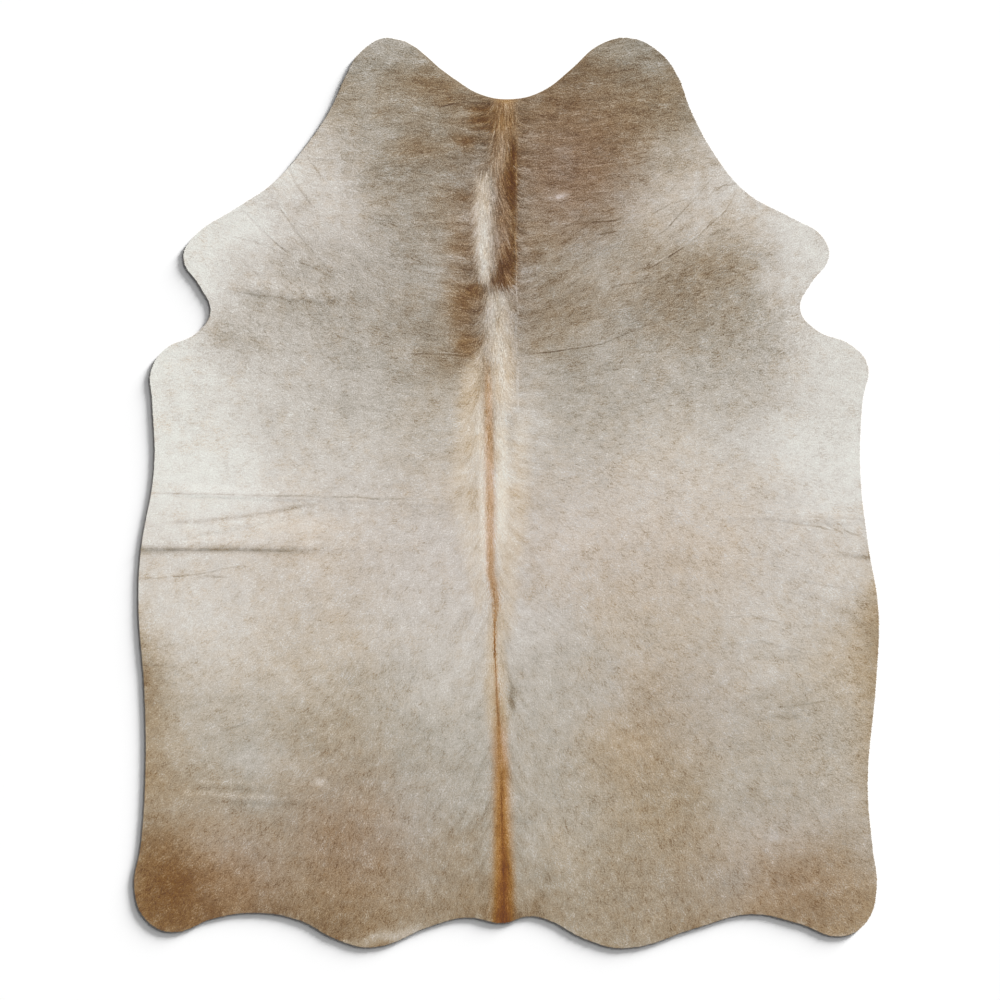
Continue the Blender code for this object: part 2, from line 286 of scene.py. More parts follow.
# Tone of the coat by body place. Depth of tone runs from ivory, 0, to darkest brown, 1.
# Warmth runs from grey, 0, to russet, 1, and on to MOST_WARMTH where the hair is reddest.
# Columns: place, x, y, reach, depth, warmth.
BODY_TONES = in_metres(3, (
    ("left ear tip", -290, 1060, 60, 0.57, 0.02),
    ("left ear band", -250, 970, 80, 0.66, 0.25),
    ("left neck", -270, 790, 120, 0.65, 0.15),
    ("left shoulder", -460, 730, 110, 0.25, 0.04),
    ("left foreleg", -720, 590, 100, 0.08, 0.0),
    ("left withers", -160, 490, 120, 0.6, 0.12),
    ("left shoulder blade", -390, 490, 130, 0.5, 0.03),
    ("left elbow", -790, 250, 110, 0.12, 0.0),
    ("left chest", -600, 350, 120, 0.39, 0.0),
    ("left girth", -750, 70, 130, 0.09, 0.0),
    ("left ribs", -430, 130, 150, 0.34, 0.02),
    ("left back", -180, 150, 110, 0.45, 0.1),
    ("left belly", -740, -260, 160, 0.29, 0.06),
    ("left flank edge", -840, -500, 100, 0.45, 0.14),
    ("left middle", -480, -310, 150, 0.4, 0.14),
    ("left loin", -170, -330, 150, 0.36, 0.0),
    ("left flank", -660, -600, 120, 0.48, 0.09),
    ("left rump", -180, -720, 150, 0.54, 0.07),
    ("left thigh", -490, -740, 150, 0.62, 0.27),
    ("left hind side", -800, -740, 110, 0.6, 0.3),
    ("left hind corner", -800, -960, 130, 0.71, 0.58),
    ("left hind lobe", -380, -980, 130, 0.7, 0.46),
    ("left tail side", -140, -980, 100, 0.66, 0.33),
    ("right ear tip", 290, 1070, 60, 0.64, 0.1),
    ("right neck", 210, 870, 130, 0.73, 0.42),
    ("right neck edge", 430, 830, 80, 0.53, 0.17),
    ("right shoulder", 490, 700, 110, 0.335, 0.09),
    ("right withers", 120, 580, 120, 0.66, 0.22),
    ("right shoulder blade", 440, 490, 120, 0.64, 0.24),
    ("right foreleg", 730, 590, 110, 0.2, 0.0),
    ("right elbow", 820, 260, 110, 0.19, 0.0),
    ("right chest", 520, 300, 130, 0.47, 0.02),
    ("right back", 200, 220, 130, 0.5, 0.05),
    ("right girth", 770, 90, 120, 0.15, 0.0),
    ("right ribs", 470, 30, 150, 0.33, 0.15),
    ("right side", 230, -20, 130, 0.34, 0.1),
    ("right middle", 300, -230, 150, 0.42, 0.18),
    ("right belly", 660, -230, 150, 0.34, 0.07),
    ("right belly edge", 850, -380, 90, 0.46, 0.24),
    ("right loin", 120, -430, 130, 0.47, 0.05),
    ("right flank", 560, -550, 170, 0.49, 0.13),
    ("right rump", 130, -770, 130, 0.51, 0.09),
    ("right thigh", 350, -720, 130, 0.59, 0.4),
    ("right hind side", 760, -720, 120, 0.475, 0.12),
    ("right hind corner", 750, -970, 110, 0.6, 0.48),
    ("right hind lobe", 300, -1000, 150, 0.61, 0.28),
))
MOST_WARMTH = 1.5

# Markings laid over the body tones, soft at their borders.
# Columns: marking, x, y, x radius, y radius, turn in degrees, depth, warmth, strength.
MARKINGS = in_metres(4, (
    ("left ear brown", -185, 979, 82, 31, -8, 0.79, 0.5, 0.75),
    ("left neck brown", -221, 824, 87, 27, 0, 0.78, 0.5, 0.65),
    ("mane bar 1", -54, 926, 28, 6, 0, 1.0, 0.95, 0.9),
    ("mane bar 2", -58, 899, 28, 7.5, 0, 1.0, 1.0, 0.95),
    ("mane bar 3", -50, 881, 24, 5, 0, 1.0, 0.95, 0.85),
    ("mane bars", -60, 905, 29, 30, 0, 0.84, 0.75, 0.7),
    ("mane left lower", -93, 849, 34, 17, -10, 0.94, 0.85, 0.8),
    ("left withers bars", -117, 708, 53, 39, 0, 0.76, 0.5, 0.55),
    ("left withers bars low", -112, 575, 44, 82, 0, 0.8, 0.6, 0.65),
    ("left spine dark", -105, 462, 41, 53, 0, 0.84, 0.76, 0.8),
    ("left spine dark low", -103, 370, 39, 31, 0, 0.92, 0.82, 0.8),
    ("left back brown", -149, 317, 82, 39, 0, 0.78, 0.4, 0.6),
    ("left neck streak", -132, 558, 39, 8, -20, 0.42, 0.0, 0.5),
    # The left armpit's shade and hollow markings are painted shade below the left armpit fold.
    ("left armpit shade", -637, 367, 63, 22, -18, 0.53, 0.08, 0.6),
    ("left armpit hollow", -499, 438, 121, 29, 4, 0.56, 0.06, 0.45),
    ("left elbow root", -688, 382, 29, 22, -20, 0.56, 0.1, 0.5),
    ("left foreleg root", -632, 545, 60, 60, 0, 0.4, 0.04, 0.65),
    ("left shoulder pale", -520, 775, 50, 34, 40, 0.1, 0.0, 0.6),
    ("left shoulder cream", -446, 696, 82, 82, 30, 0.23, 0.06, 0.5),
    ("left shoulder blush", -427, 612, 97, 63, -30, 0.41, 0.02, 0.4),
    ("right ear brown", 226, 986, 145, 48, 0, 0.74, 0.32, 0.6),
    ("right ear dark", 129, 878, 97, 53, 0, 0.77, 0.5, 0.55),
    ("right neck dark", 154, 757, 106, 58, 10, 0.77, 0.44, 0.6),
    ("right neck dark low", 93, 648, 63, 58, 0, 0.78, 0.5, 0.55),
    ("right neck light", 347, 793, 82, 19, 14, 0.5, 0.12, 0.45),
    ("right shoulder cream", 444, 733, 102, 58, 35, 0.34, 0.1, 0.6),
    ("right shoulder sweep", 468, 539, 150, 48, 32, 0.7, 0.36, 0.65),
    ("right shoulder sweep low", 383, 467, 126, 44, 24, 0.7, 0.22, 0.5),
    ("right shoulder patch", 577, 413, 87, 48, 30, 0.65, 0.15, 0.45),
    ("right withers pale", 226, 600, 121, 36, 24, 0.54, 0.06, 0.45),
    ("right pale streak", 129, 716, 26, 6, 13, 0.24, 0.0, 0.7),
    ("right pale spot", 639, 459, 15, 11, 40, 0.2, 0.0, 0.7),
    ("right back bars", 93, 394, 68, 73, 20, 0.71, 0.36, 0.45),
    ("left belly cream", -729, -77, 145, 44, 2, 0.16, 0.04, 0.5),
    ("left belly blush", -729, -283, 111, 63, 0, 0.27, 0.0, 0.5),
    ("left mottle 1", -523, -392, 82, 53, 20, 0.46, 0.26, 0.5),
    ("left mottle 2", -390, -355, 63, 73, 0, 0.44, 0.22, 0.4),
    ("left mottle 3", -415, -585, 82, 39, 0, 0.54, 0.24, 0.5),
    ("left mottle 4", -330, -670, 68, 39, 10, 0.6, 0.26, 0.5),
    ("left mottle 5", -499, -670, 82, 29, 0, 0.5, 0.18, 0.45),
    ("left grey", -584, -645, 82, 44, 0, 0.37, 0.0, 0.65),
    ("left pale spot", -451, -699, 15, 11, 0, 0.26, 0.05, 0.6),
    ("left hind grey", -620, -754, 106, 29, 0, 0.56, 0.06, 0.5),
    ("left hind tan", -390, -839, 97, 44, 0, 0.68, 0.34, 0.5),
    ("rump beside the tail", -112, -838, 50, 40, 0, 0.42, 0.42, 0.55),
    ("left hind grey low", -690, -850, 75, 50, 10, 0.48, 0.2, 0.4),
    ("right hind pale", 560, -850, 70, 60, 0, 0.4, 0.16, 0.3),
    ("right rump near the tail", 129, -880, 50, 60, 0, 0.48, 0.34, 0.55),
    ("right hind hem", 450, -1035, 200, 35, 0, 0.58, 0.4, 0.45),
    ("left hind umber", -818, -930, 75, 95, 0, 0.85, 0.82, 0.6),
    ("left hind umber low", -830, -1010, 110, 60, 0, 0.9, 0.84, 0.5),
    ("left hind brown", -794, -950, 60, 50, 20, 0.94, 0.9, 0.6),
    ("left lobe pale", -294, -1081, 97, 17, 10, 0.46, 0.16, 0.8),
    ("pink mark", -806, -769, 10, 15, 0, 0.42, 0.05, 0.6),
    ("lilac mark", 12, -498, 8, 30, 4, 0.84, 0.24, 0.9),
    ("right mottle 1", 226, -259, 73, 63, 0, 0.45, 0.22, 0.5),
    ("right mottle 2", 359, -355, 63, 87, 0, 0.48, 0.26, 0.4),
    ("right loin grey", 57, -307, 44, 121, 0, 0.28, 0.0, 0.5),
    ("right mottle 3", 323, -609, 82, 48, -20, 0.57, 0.34, 0.6),
    ("right mottle 4", 262, -645, 63, 44, 0, 0.62, 0.34, 0.4),
    ("right mottle 5", 395, -742, 82, 63, 0, 0.62, 0.32, 0.5),
    ("right grey", 577, -500, 73, 63, 0, 0.42, 0.02, 0.45),
    ("right thigh brown", 601, -742, 82, 29, 0, 0.62, 0.28, 0.45),
    ("right thigh spot", 644, -834, 16, 11, 0, 0.36, 0.0, 0.6),
    ("right edge tan low", 826, -428, 73, 53, 0, 0.5, 0.36, 0.4),
    ("right hind tan", 710, -936, 121, 58, -10, 0.7, 0.42, 0.55),
    ("right side cream", 129, -114, 73, 53, 0, 0.28, 0.12, 0.4),
    ("right side grey", 93, -17, 34, 39, 30, 0.5, 0.12, 0.4),
    ("right belly cream", 444, -114, 145, 63, 0, 0.32, 0.26, 0.4),
))

# Patches where the coat is a little darker or paler, warmer or greyer, than its body tone.
# Columns: patch, x, y, x radius, y radius, change of depth, change of warmth.
PATCHES = in_metres(4, (
    ("left neck side", -325, 862, 75, 60, -0.12, -0.12),
    ("left shoulder point", -535, 766, 50, 40, -0.07, 0.0),
    ("beside the mane", -115, 904, 30, 30, 0.04, 0.12),
    ("left withers", -185, 528, 65, 50, -0.1, -0.13),
    ("below the white tuft", -82, 540, 26, 36, 0.13, 0.0),
    ("left dark spine", -72, 351, 35, 34, -0.12, 0.0),
    ("left upper ribs", -364, 319, 60, 40, 0.08, -0.06),
    ("left ribs", -375, 215, 90, 50, 0.11, -0.08),
    ("left back", -245, 268, 60, 45, 0.09, -0.02),
    ("left inner ribs", -163, 24, 50, 50, -0.08, 0.0),
    ("left belly fold", -480, -78, 120, 35, -0.09, 0.14),
    ("left belly", -364, -455, 75, 55, 0.12, 0.06),
    ("left rump", -100, -600, 55, 50, -0.08, -0.11),
    ("left hind side", -630, -645, 60, 70, 0.03, -0.08),
    ("left thigh", -318, -759, 55, 50, 0.04, 0.14),
    ("left rump tan", -415, -822, 55, 45, 0.04, 0.12),
    ("left hind rim", -879, -832, 45, 50, 0.09, 0.03),
    ("left of the tail", -122, -844, 55, 50, 0.11, 0.0),
    ("left tail side", -187, -943, 45, 40, -0.05, -0.14),
    ("left hind lobe", -572, -1013, 50, 40, 0.08, 0.0),
    ("left hind hem", -453, -1044, 70, 35, 0.09, 0.0),
    ("left lobe", -231, -1056, 50, 30, -0.09, -0.12),
    ("tail tip", -40, -1028, 45, 40, 0.06, 0.12),
    ("right ear tip", 318, 1088, 40, 30, -0.05, -0.1),
    ("right ear", 151, 1006, 50, 40, 0.08, 0.0),
    ("right ear root", 418, 910, 58, 38, 0.13, 0.02),
    ("right neck", 132, 805, 50, 65, -0.06, -0.15),
    ("right neck edge", 477, 841, 40, 35, -0.08, -0.07),
    ("right withers high", 272, 723, 50, 45, -0.08, -0.18),
    ("right shoulder point", 550, 745, 50, 50, -0.1, -0.07),
    ("right foreleg root", 622, 556, 75, 52, 0.13, 0.0),
    ("right foreleg", 770, 561, 80, 60, 0.0, -0.12),
    ("right withers", 260, 525, 100, 58, -0.12, -0.12),
    ("right blade", 456, 421, 50, 40, 0.08, 0.04),
    ("right shoulder", 306, 413, 50, 40, -0.05, -0.11),
    ("right back", 170, 295, 50, 45, 0.08, 0.0),
    ("cream strip", -18, 251, 30, 50, 0.0, 0.15),
    ("right of the spine", 52, 172, 48, 80, -0.17, 0.0),
    ("right elbow", 840, 140, 90, 90, 0.0, -0.15),
    ("right chest", 572, 123, 80, 60, -0.03, -0.14),
    ("right ribs", 535, -184, 70, 45, 0.04, 0.1),
    ("right loin", 120, -290, 55, 110, -0.06, -0.09),
    ("right belly", 345, -469, 60, 50, 0.05, 0.12),
    ("right thigh edge", 630, -418, 100, 50, -0.08, -0.04),
    ("right thigh", 535, -752, 60, 50, -0.03, -0.12),
    ("right of the tail", 95, -916, 40, 50, 0.09, 0.0),
    ("right of the tail low", 64, -1006, 40, 50, 0.1, 0.14),
    ("right hind", 562, -938, 60, 45, -0.03, -0.18),
    ("right hem", 446, -1047, 70, 30, 0.08, 0.05),
    ("right corner hem", 740, -1022, 120, 45, 0.08, -0.02),
    ("right hind corner", 870, -897, 50, 50, 0.0, -0.14),
    ("left neck edge", -482, 829, 45, 35, 0.09, 0.05),
    ("left ear root", -337, 958, 40, 40, -0.09, -0.12),
    ("left ear tip", -337, 1066, 50, 35, -0.06, -0.06),
    ("left blade", -502, 496, 50, 40, -0.08, 0.0),
    ("left chest", -600, 260, 70, 65, -0.07, 0.0),
    ("left elbow", -818, 338, 60, 50, -0.07, 0.0),
    ("left girth", -487, 36, 55, 50, -0.06, 0.04),
    ("left middle", -461, -178, 55, 40, -0.07, 0.02),
    ("left loin side", -257, -433, 55, 50, 0.08, 0.0),
    ("left hind hem corner", -717, -1020, 50, 40, 0.08, 0.0),
    ("left lobe root", -282, -974, 50, 40, -0.06, -0.08),
    ("right neck low", 105, 665, 50, 45, -0.07, -0.1),
    ("right foreleg back", 688, 462, 50, 40, 0.07, 0.0),
    ("right elbow root", 730, 240, 55, 50, 0.06, 0.0),
    ("right of the line", 26, -324, 24, 70, -0.08, -0.04),
    ("beside the tail", 34, -630, 22, 85, -0.1, -0.05),
    ("right hind rim", 801, -836, 50, 45, 0.07, 0.04),
    ("left neck low", -232, 694, 70, 45, -0.07, -0.04),
    ("right thigh mottle", 280, -610, 80, 70, -0.04, 0.06),
    ("left hind root", -589, -740, 40, 35, -0.06, -0.1),
    ("left hind inside", -660, -900, 150, 110, 0.0, -0.06),
    ("right hind inside", 640, -850, 160, 110, 0.0, -0.06),
    ("left girth side", -720, 160, 90, 60, 0.05, 0.0),
    ("left withers low", -238, 400, 50, 35, 0.07, 0.0),
    ("right ear inside", 243, 1020, 50, 35, 0.06, 0.0),
    ("right girth", 676, 5, 60, 45, 0.06, 0.0),
    ("right flank fold", 790, -179, 60, 40, -0.06, 0.0),
    ("right side", 419, -143, 55, 45, 0.06, 0.02),
    ("right back low", 200, 48, 50, 50, 0.05, 0.0),
))

# Stripes along the spine and the flanks, each followed from neck to tail.
# Columns: stripe, how rosy its hair is from 0 to 1, rows.
# Columns of the rows: y, x, half width, depth, warmth, strength.
STRIPES = (
    ("left flank edge", 0.0, in_metres(3, (
        (-200, -885, 20, 0.3, 0.3, 0.0), (-300, -895, 44, 0.46, 0.36, 0.6),
        (-370, -890, 55, 0.66, 0.44, 0.75), (-480, -885, 64, 0.78, 0.52, 0.8),
        (-550, -880, 70, 0.7, 0.52, 0.75), (-620, -880, 74, 0.66, 0.52, 0.62),
        (-700, -885, 74, 0.66, 0.6, 0.55), (-800, -895, 60, 0.66, 0.6, 0.0),
    ))),
    ("right flank edge", 0.0, in_metres(3, (
        (-130, 885, 24, 0.36, 0.34, 0.0), (-220, 900, 40, 0.42, 0.44, 0.6),
        (-260, 905, 50, 0.64, 0.52, 0.6), (-380, 905, 52, 0.66, 0.56, 0.65),
        (-500, 895, 48, 0.6, 0.52, 0.6), (-640, 885, 46, 0.58, 0.52, 0.6),
        (-760, 885, 42, 0.52, 0.42, 0.3),
    ))),
    ("mane", 0.4, in_metres(3, (
        (965, -4, 26, 0.62, 0.78, 0.95), (930, -4, 26, 0.64, 0.8, 0.95),
        (900, -4, 27, 0.78, 0.92, 0.95), (865, -6, 29, 0.69, 0.76, 0.95),
        (830, -8, 30, 0.65, 0.68, 0.9), (793, -10, 31, 0.63, 0.62, 0.85),
        (755, -4, 24, 0.66, 0.6, 0.5), (735, -4, 24, 0.7, 0.6, 0.0),
    ))),
    ("ridge", 0.6, in_metres(3, (
        (793, 1, 14, 0.74, 0.7, 0.2), (755, -2, 24, 0.79, 0.76, 0.85), (672, -2, 24, 0.67, 0.6, 0.85),
        (612, -2, 24, 0.67, 0.56, 0.85), (580, -1, 24, 0.84, 0.82, 0.92),
        (545, -2, 25, 0.98, 0.92, 0.95), (505, -6, 28, 0.9, 0.8, 0.95), (490, -6, 28, 0.84, 0.7, 0.2),
        (480, -4, 24, 0.8, 0.5, 0.0),
    ))),
    ("dark line", 0.15, in_metres(3, (
        (870, 17, 6, 0.84, 0.7, 0.0), (840, 16, 9, 0.98, 0.95, 0.9), (745, 15, 12, 1.0, 1.0, 1.0),
        (710, 16, 10, 0.98, 0.95, 0.9), (670, 17, 8, 0.9, 0.85, 0.75), (560, 17, 9, 0.94, 0.9, 0.8),
        (520, 14, 8, 0.9, 0.85, 0.5), (490, 14, 6, 0.84, 0.7, 0.0),
    ))),
    ("white tuft", 0.0, in_metres(3, (
        (778, -52, 16, 0.25, 0.2, 0.0), (755, -54, 21, 0.28, 0.28, 0.75),
        (684, -56, 23, 0.22, 0.3, 0.9), (587, -54, 21, 0.2, 0.28, 0.9),
        (535, -54, 18, 0.24, 0.28, 0.9), (512, -52, 10, 0.3, 0.25, 0.8), (495, -50, 6, 0.34, 0.2, 0.0),
    ))),
    ("left tuft", 0.0, in_metres(3, (
        (510, -80, 18, 0.9, 0.7, 0.0), (500, -78, 20, 0.94, 0.8, 0.7), (480, -80, 22, 0.94, 0.8, 0.6),
        (465, -80, 20, 0.9, 0.7, 0.0),
    ))),
    ("cream strip", 0.0, in_metres(3, (
        (492, -22, 26, 0.3, 0.24, 0.0), (478, -22, 30, 0.3, 0.24, 0.9),
        (440, -20, 30, 0.32, 0.34, 0.9), (400, -20, 34, 0.32, 0.36, 0.9),
        (358, -14, 34, 0.27, 0.38, 0.9), (285, -8, 31, 0.26, 0.42, 0.8), (225, -6, 29, 0.24, 0.4, 0.7),
        (170, -8, 24, 0.2, 0.28, 0.0),
    ))),
    ("left gold", 0.0, in_metres(3, (
        (346, -69, 19, 0.32, 0.4, 0.0), (293, -79, 29, 0.36, 0.55, 0.7),
        (176, -91, 34, 0.34, 0.5, 0.7), (31, -98, 39, 0.32, 0.42, 0.65),
        (-114, -83, 34, 0.3, 0.36, 0.6), (-235, -64, 24, 0.3, 0.36, 0.5),
        (-330, -54, 19, 0.32, 0.4, 0.0),
    ))),
    ("right gold", 0.0, in_metres(3, (
        (225, 33, 19, 0.25, 0.36, 0.0), (104, 28, 29, 0.24, 0.4, 0.6), (-65, 20, 34, 0.26, 0.44, 0.65),
        (-138, 8, 34, 0.34, 0.44, 0.7), (-186, 4, 29, 0.3, 0.44, 0.65),
        (-307, -4, 24, 0.34, 0.44, 0.55), (-380, -4, 22, 0.36, 0.44, 0.0),
    ))),
    ("left cream", 0.0, in_metres(3, (
        (249, -62, 10, 0.2, 0.2, 0.0), (176, -62, 11, 0.16, 0.34, 0.7),
        (-17, -57, 11, 0.11, 0.28, 0.85), (-162, -54, 10, 0.13, 0.28, 0.8),
        (-222, -50, 7, 0.2, 0.2, 0.0),
    ))),
    ("right cream", 0.0, in_metres(3, (
        (240, -11, 14, 0.15, 0.22, 0.0), (164, -13, 17, 0.14, 0.38, 0.85),
        (-17, -11, 17, 0.11, 0.34, 0.9), (-100, -13, 15, 0.17, 0.34, 0.8),
        (-150, -14, 12, 0.24, 0.26, 0.6), (-210, -10, 12, 0.26, 0.26, 0.0),
    ))),
    ("spine border", 0.0, in_metres(3, (
        (-220, -23, 19, 0.36, 0.5, 0.0), (-360, -28, 25, 0.38, 0.5, 0.75),
        (-450, -26, 28, 0.42, 0.5, 0.9), (-550, -20, 26, 0.44, 0.56, 0.9),
        (-610, -16, 22, 0.5, 0.7, 0.0),
    ))),
    ("russet edge", 0.8, in_metres(3, (
        (-530, -19, 16, 0.5, 0.8, 0.0), (-580, -17, 18, 0.54, 0.84, 0.7),
        (-620, -16, 20, 0.57, 0.9, 0.92), (-660, -12, 20, 0.64, 1.02, 0.95),
        (-742, -11, 21, 0.6, 1.12, 0.95), (-863, -9, 23, 0.72, 1.3, 0.95),
        (-936, -7, 24, 0.78, 1.4, 0.95), (-1047, -8, 26, 0.82, 1.45, 0.95),
    ))),
    ("russet stripe", 0.75, in_metres(3, (
        (330, -47, 7, 0.4, 0.8, 0.0), (261, -45, 9, 0.42, 0.88, 0.65), (152, -42, 11, 0.46, 0.88, 0.8),
        (-17, -40, 11, 0.5, 0.88, 0.85), (-120, -40, 11, 0.58, 0.84, 0.92),
        (-196, -38.5, 11, 0.62, 0.86, 0.95), (-222, -31, 10, 0.62, 0.86, 0.95),
        (-260, -26, 9, 0.64, 0.88, 0.95), (-307, -28, 6, 0.66, 0.95, 0.9),
        (-367, -28.5, 5, 0.62, 1.0, 0.9), (-450, -25.5, 4.8, 0.62, 0.9, 0.9),
        (-550, -19.5, 4.8, 0.6, 0.9, 0.8), (-602, -16, 6.5, 0.68, 1.0, 0.8),
        (-645, -12.5, 7, 0.76, 1.05, 0.6), (-742, -11.5, 6, 0.68, 1.15, 0.8),
        (-863, -8, 6.5, 0.86, 1.4, 0.85), (-948, -5.5, 7, 0.88, 1.5, 0.85),
        (-1047, -6, 8.5, 0.89, 1.5, 0.85),
    ))),
)

# A stripe wider than SOFT_STRIPE fades softly to its sides, and the others have firmer borders.
SOFT_STRIPE = 0.040
SOFT_BORDER = 2.0
FIRM_BORDER = 3.0
STRIPE_RUNOUT = 0.02

# How far from the spine the coat lies in long sleek strands. Columns: y, reach.
SLEEK_REACH = in_metres(2, (
    (-1100, 80), (-200, 80), (200, 160), (450, 300), (700, 420), (1100, 600),
))

# Strength of soft patches in the coat. Columns: y, strength.
PATCHINESS = in_metres(1, (
    (-1100, 0.5), (-550, 0.6), (-250, 0.9), (300, 0.8), (600, 0.8), (1100, 0.6),
))

# How much neighbouring locks differ in tone. Columns: y, strength.
CONTRAST = in_metres(1, (
    (-1100, 0.68), (-400, 0.8), (100, 1.15), (600, 1.15), (1100, 1.2),
))

# Rosy areas away from the stripes. Columns: area, x, y, x reach, y reach, strength.
ROSY_AREAS = in_metres(4, (
    ("right of the neck", 150, 780, 170, 180, 0.65),
    ("beside the mane", -30, 600, 130, 300, 0.42),
    ("neck and shoulders", 0, 600, 650, 420, 0.14),
    ("girth", 50, -130, 780, 240, 0.17),
    ("left rump", -380, -840, 200, 170, 0.38),
    ("right rump", 400, -500, 220, 200, 0.14),
    ("left hind", -660, -920, 200, 140, 0.4),
    ("right hind", 680, -930, 240, 160, 0.3),
))

# Long streaks and patches in the tone. A pair is the value where the coat is short and curly,
# and what sleekness adds.
LONG_STREAK = (0.04, 0.16)
PATCH = 0.18
FINE_PATCH = (0.32, -0.14)
WARM_PATCH = 0.30
# How much warmer darker patches and streaks are.
PATCH_WARMTH = 1.3
STREAK_WARMTH = 0.9

# Short streaks tell neighbouring locks apart. Their reach along the lie grows with sleekness.
STREAK_REACH = (0.006, 0.012)
STREAK_STEPS = 11
STREAK_GAIN = 2.6
STREAK_LIMIT = 0.6
MANE_CONTRAST = 0.6

# Shape of a lock. Ranges are the least and most of a share. A lock bends by a share of its length
# and rolls by a share of its rise. Its stray from the lie is in degrees, with what sleekness and
# the mane add.
LENGTH_RANGE = (0.75, 1.25)
WIDTH_RANGE = (0.8, 1.25)
RISE_RANGE = (0.7, 1.4)
WIDEST_AT = 0.40
BEND = 0.03
ROLL = 0.22
STRAY = (20.0, -12.0)
MANE_STRAY = -1.0
ROOT_DEPTH = 0.0008
LEAST_HEIGHT = 0.0006
LEAST_LENGTH = 0.003
LENGTH_CUTS = 7
# The hair lies lower towards the trimmed edge: its share there, and the distance to full rise.
EDGE_RISE = 0.35
EDGE_RISE_REACH = 0.012
# The fine locks that draw creases.
CREASE_LOCK_LENGTH = 0.013
CREASE_LOCK_WIDTH = 0.0012
CREASE_LOCK_ROLL = 0.1
CREASE_LOCK_STRAY = 2.0
# A lock takes its tone from a place part of the way along it, or a little to its side, so that
# the borders of markings are feathered.
FEATHER = 0.6
FEATHER_RANGE = 0.30
FEATHER_DRIFT = 0.0008

# Roots stand on a staggered grid. Its rows and its jitter are shares of its spacing. Extra roots
# stand in a band along the spine and in rows just inside the rim.
ROW_SHARE = 0.866
ROOT_JITTER = 0.42
ROOT_INSET = 0.0008
SPINE_BAND = (-0.11, 0.07)
RIM_INSETS = (0.0015, 0.004, 0.0065)
RIM_JITTER = 0.0008

# The skin's rows are closest between these two places along the hide, where the folds run.
FOLD_ROWS = (-0.175, 0.045)
RIM_STEP = 0.008

COAT_SEED = 41
NOISE_SIZE = 256
# A cloud is the sum of OCTAVES layers of noise, each finer and weaker than the one before.
OCTAVES = 3
OCTAVE_SIZE = 0.47
OCTAVE_WEIGHT = 0.6
# Noises over the hide: size of the grains, and a layer that numbers the table of random numbers.
# A cloud also uses the layers after its own, one for each octave. No two noises share a layer.
WAVE_X_NOISE = (0.110, 10)
WAVE_Y_NOISE = (0.110, 20)
STREAK_NOISE = (0.0024, 40)
LONG_STREAK_NOISE = (0.0100, 41)
LONG_STREAK_REACH = 0.034
LINE_BREAK_NOISE = (0.014, 43)
PATCH_NOISE = (0.034, 50)
FINE_PATCH_NOISE = (0.017, 54)
WARM_PATCH_NOISE = (0.060, 57)
LIE_NOISE = (0.12, 60)

# Far from every row of a table its rows still count this much, so that their mean is defined.
LIE_LEAST = 1e-6
TONE_LEAST = 1e-5
TINY = 1e-9


def linear(red, green, blue):
    """Return a display colour, 0 to 255 a channel, as a linear one by the sRGB curve."""
    channels = []
    for value in (red, green, blue):
        v = value / 255.0
        channels.append(v / 12.92 if v <= 0.04045 else ((v + 0.055) / 1.055) ** 2.4)
    return tuple(channels)


def colour_property(name, description, display):
    """Return a colour setting. Its default is a display colour."""
    return bpy.props.FloatVectorProperty(name=name, description=description, subtype="COLOR",
                                         default=linear(*display), min=0.0, max=1.0)


def length_property(name, description, default):
    """Return a setting for a length in metres."""
    return bpy.props.FloatProperty(name=name, description=description, default=default,
                                   min=0.0, unit="LENGTH", precision=4)


def strength_property(name, description, default):
    """Return a setting for a light's strength."""
    return bpy.props.FloatProperty(name=name, description=description, default=default, min=0.0)


def angle_property(name, description, degrees):
    """Return a setting for an angle. Its default is in degrees."""
    return bpy.props.FloatProperty(name=name, description=description, subtype="ANGLE",
                                   default=np.radians(degrees))


class HideSkinSettings(bpy.types.PropertyGroup):
    """Sizes and colours of the leather."""

    thickness: length_property("Leather", "Thickness of the leather under the hair", 0.0026)
    step: length_property("Step", "Distance between the skin's points", 0.016)
    fold_step: length_property("Fold step", "Distance between the skin's rows across the folds", 0.007)
    trim: length_property("Trim", "How far the cut leather stays inside the coat's edge", 0.0004)
    suede: colour_property("Suede", "Flesh side of the leather", (206, 196, 180))
    cut: colour_property("Cut edge", "Trimmed edge of the leather", (176, 160, 138))


class HideCoatSettings(bpy.types.PropertyGroup):
    """Sizes of the locks of hair."""

    spacing: length_property("Spacing", "Distance between the roots of neighbouring locks", 0.0044)
    spine_spacing: length_property("Spine spacing", "Distance between extra locks on the spine", 0.0052)
    crease_spacing: length_property("Crease spacing", "Distance between the locks of a crease", 0.0020)
    rim_spacing: length_property("Rim spacing", "Distance between extra locks along the edge", 0.0045)
    width: length_property("Width", "Width of a lock on the body", 0.0027)
    spine_width: length_property("Spine width", "Width of a lock on the spine", 0.0019)
    rise: length_property("Rise", "Height of the laid hair over the leather", 0.0006)
    crease_rise: length_property("Crease rise", "How far a crease's fine locks lie over the coat", 0.0004)
    spine_rise: length_property("Spine rise", "Height of the hair along the spine", 0.0022)
    overhang: length_property("Overhang", "How far hair reaches past the trimmed outline", 0.0004)
    strips: bpy.props.IntProperty(name="Strips", description="Pieces the coat is divided into",
                                  default=5, min=1)


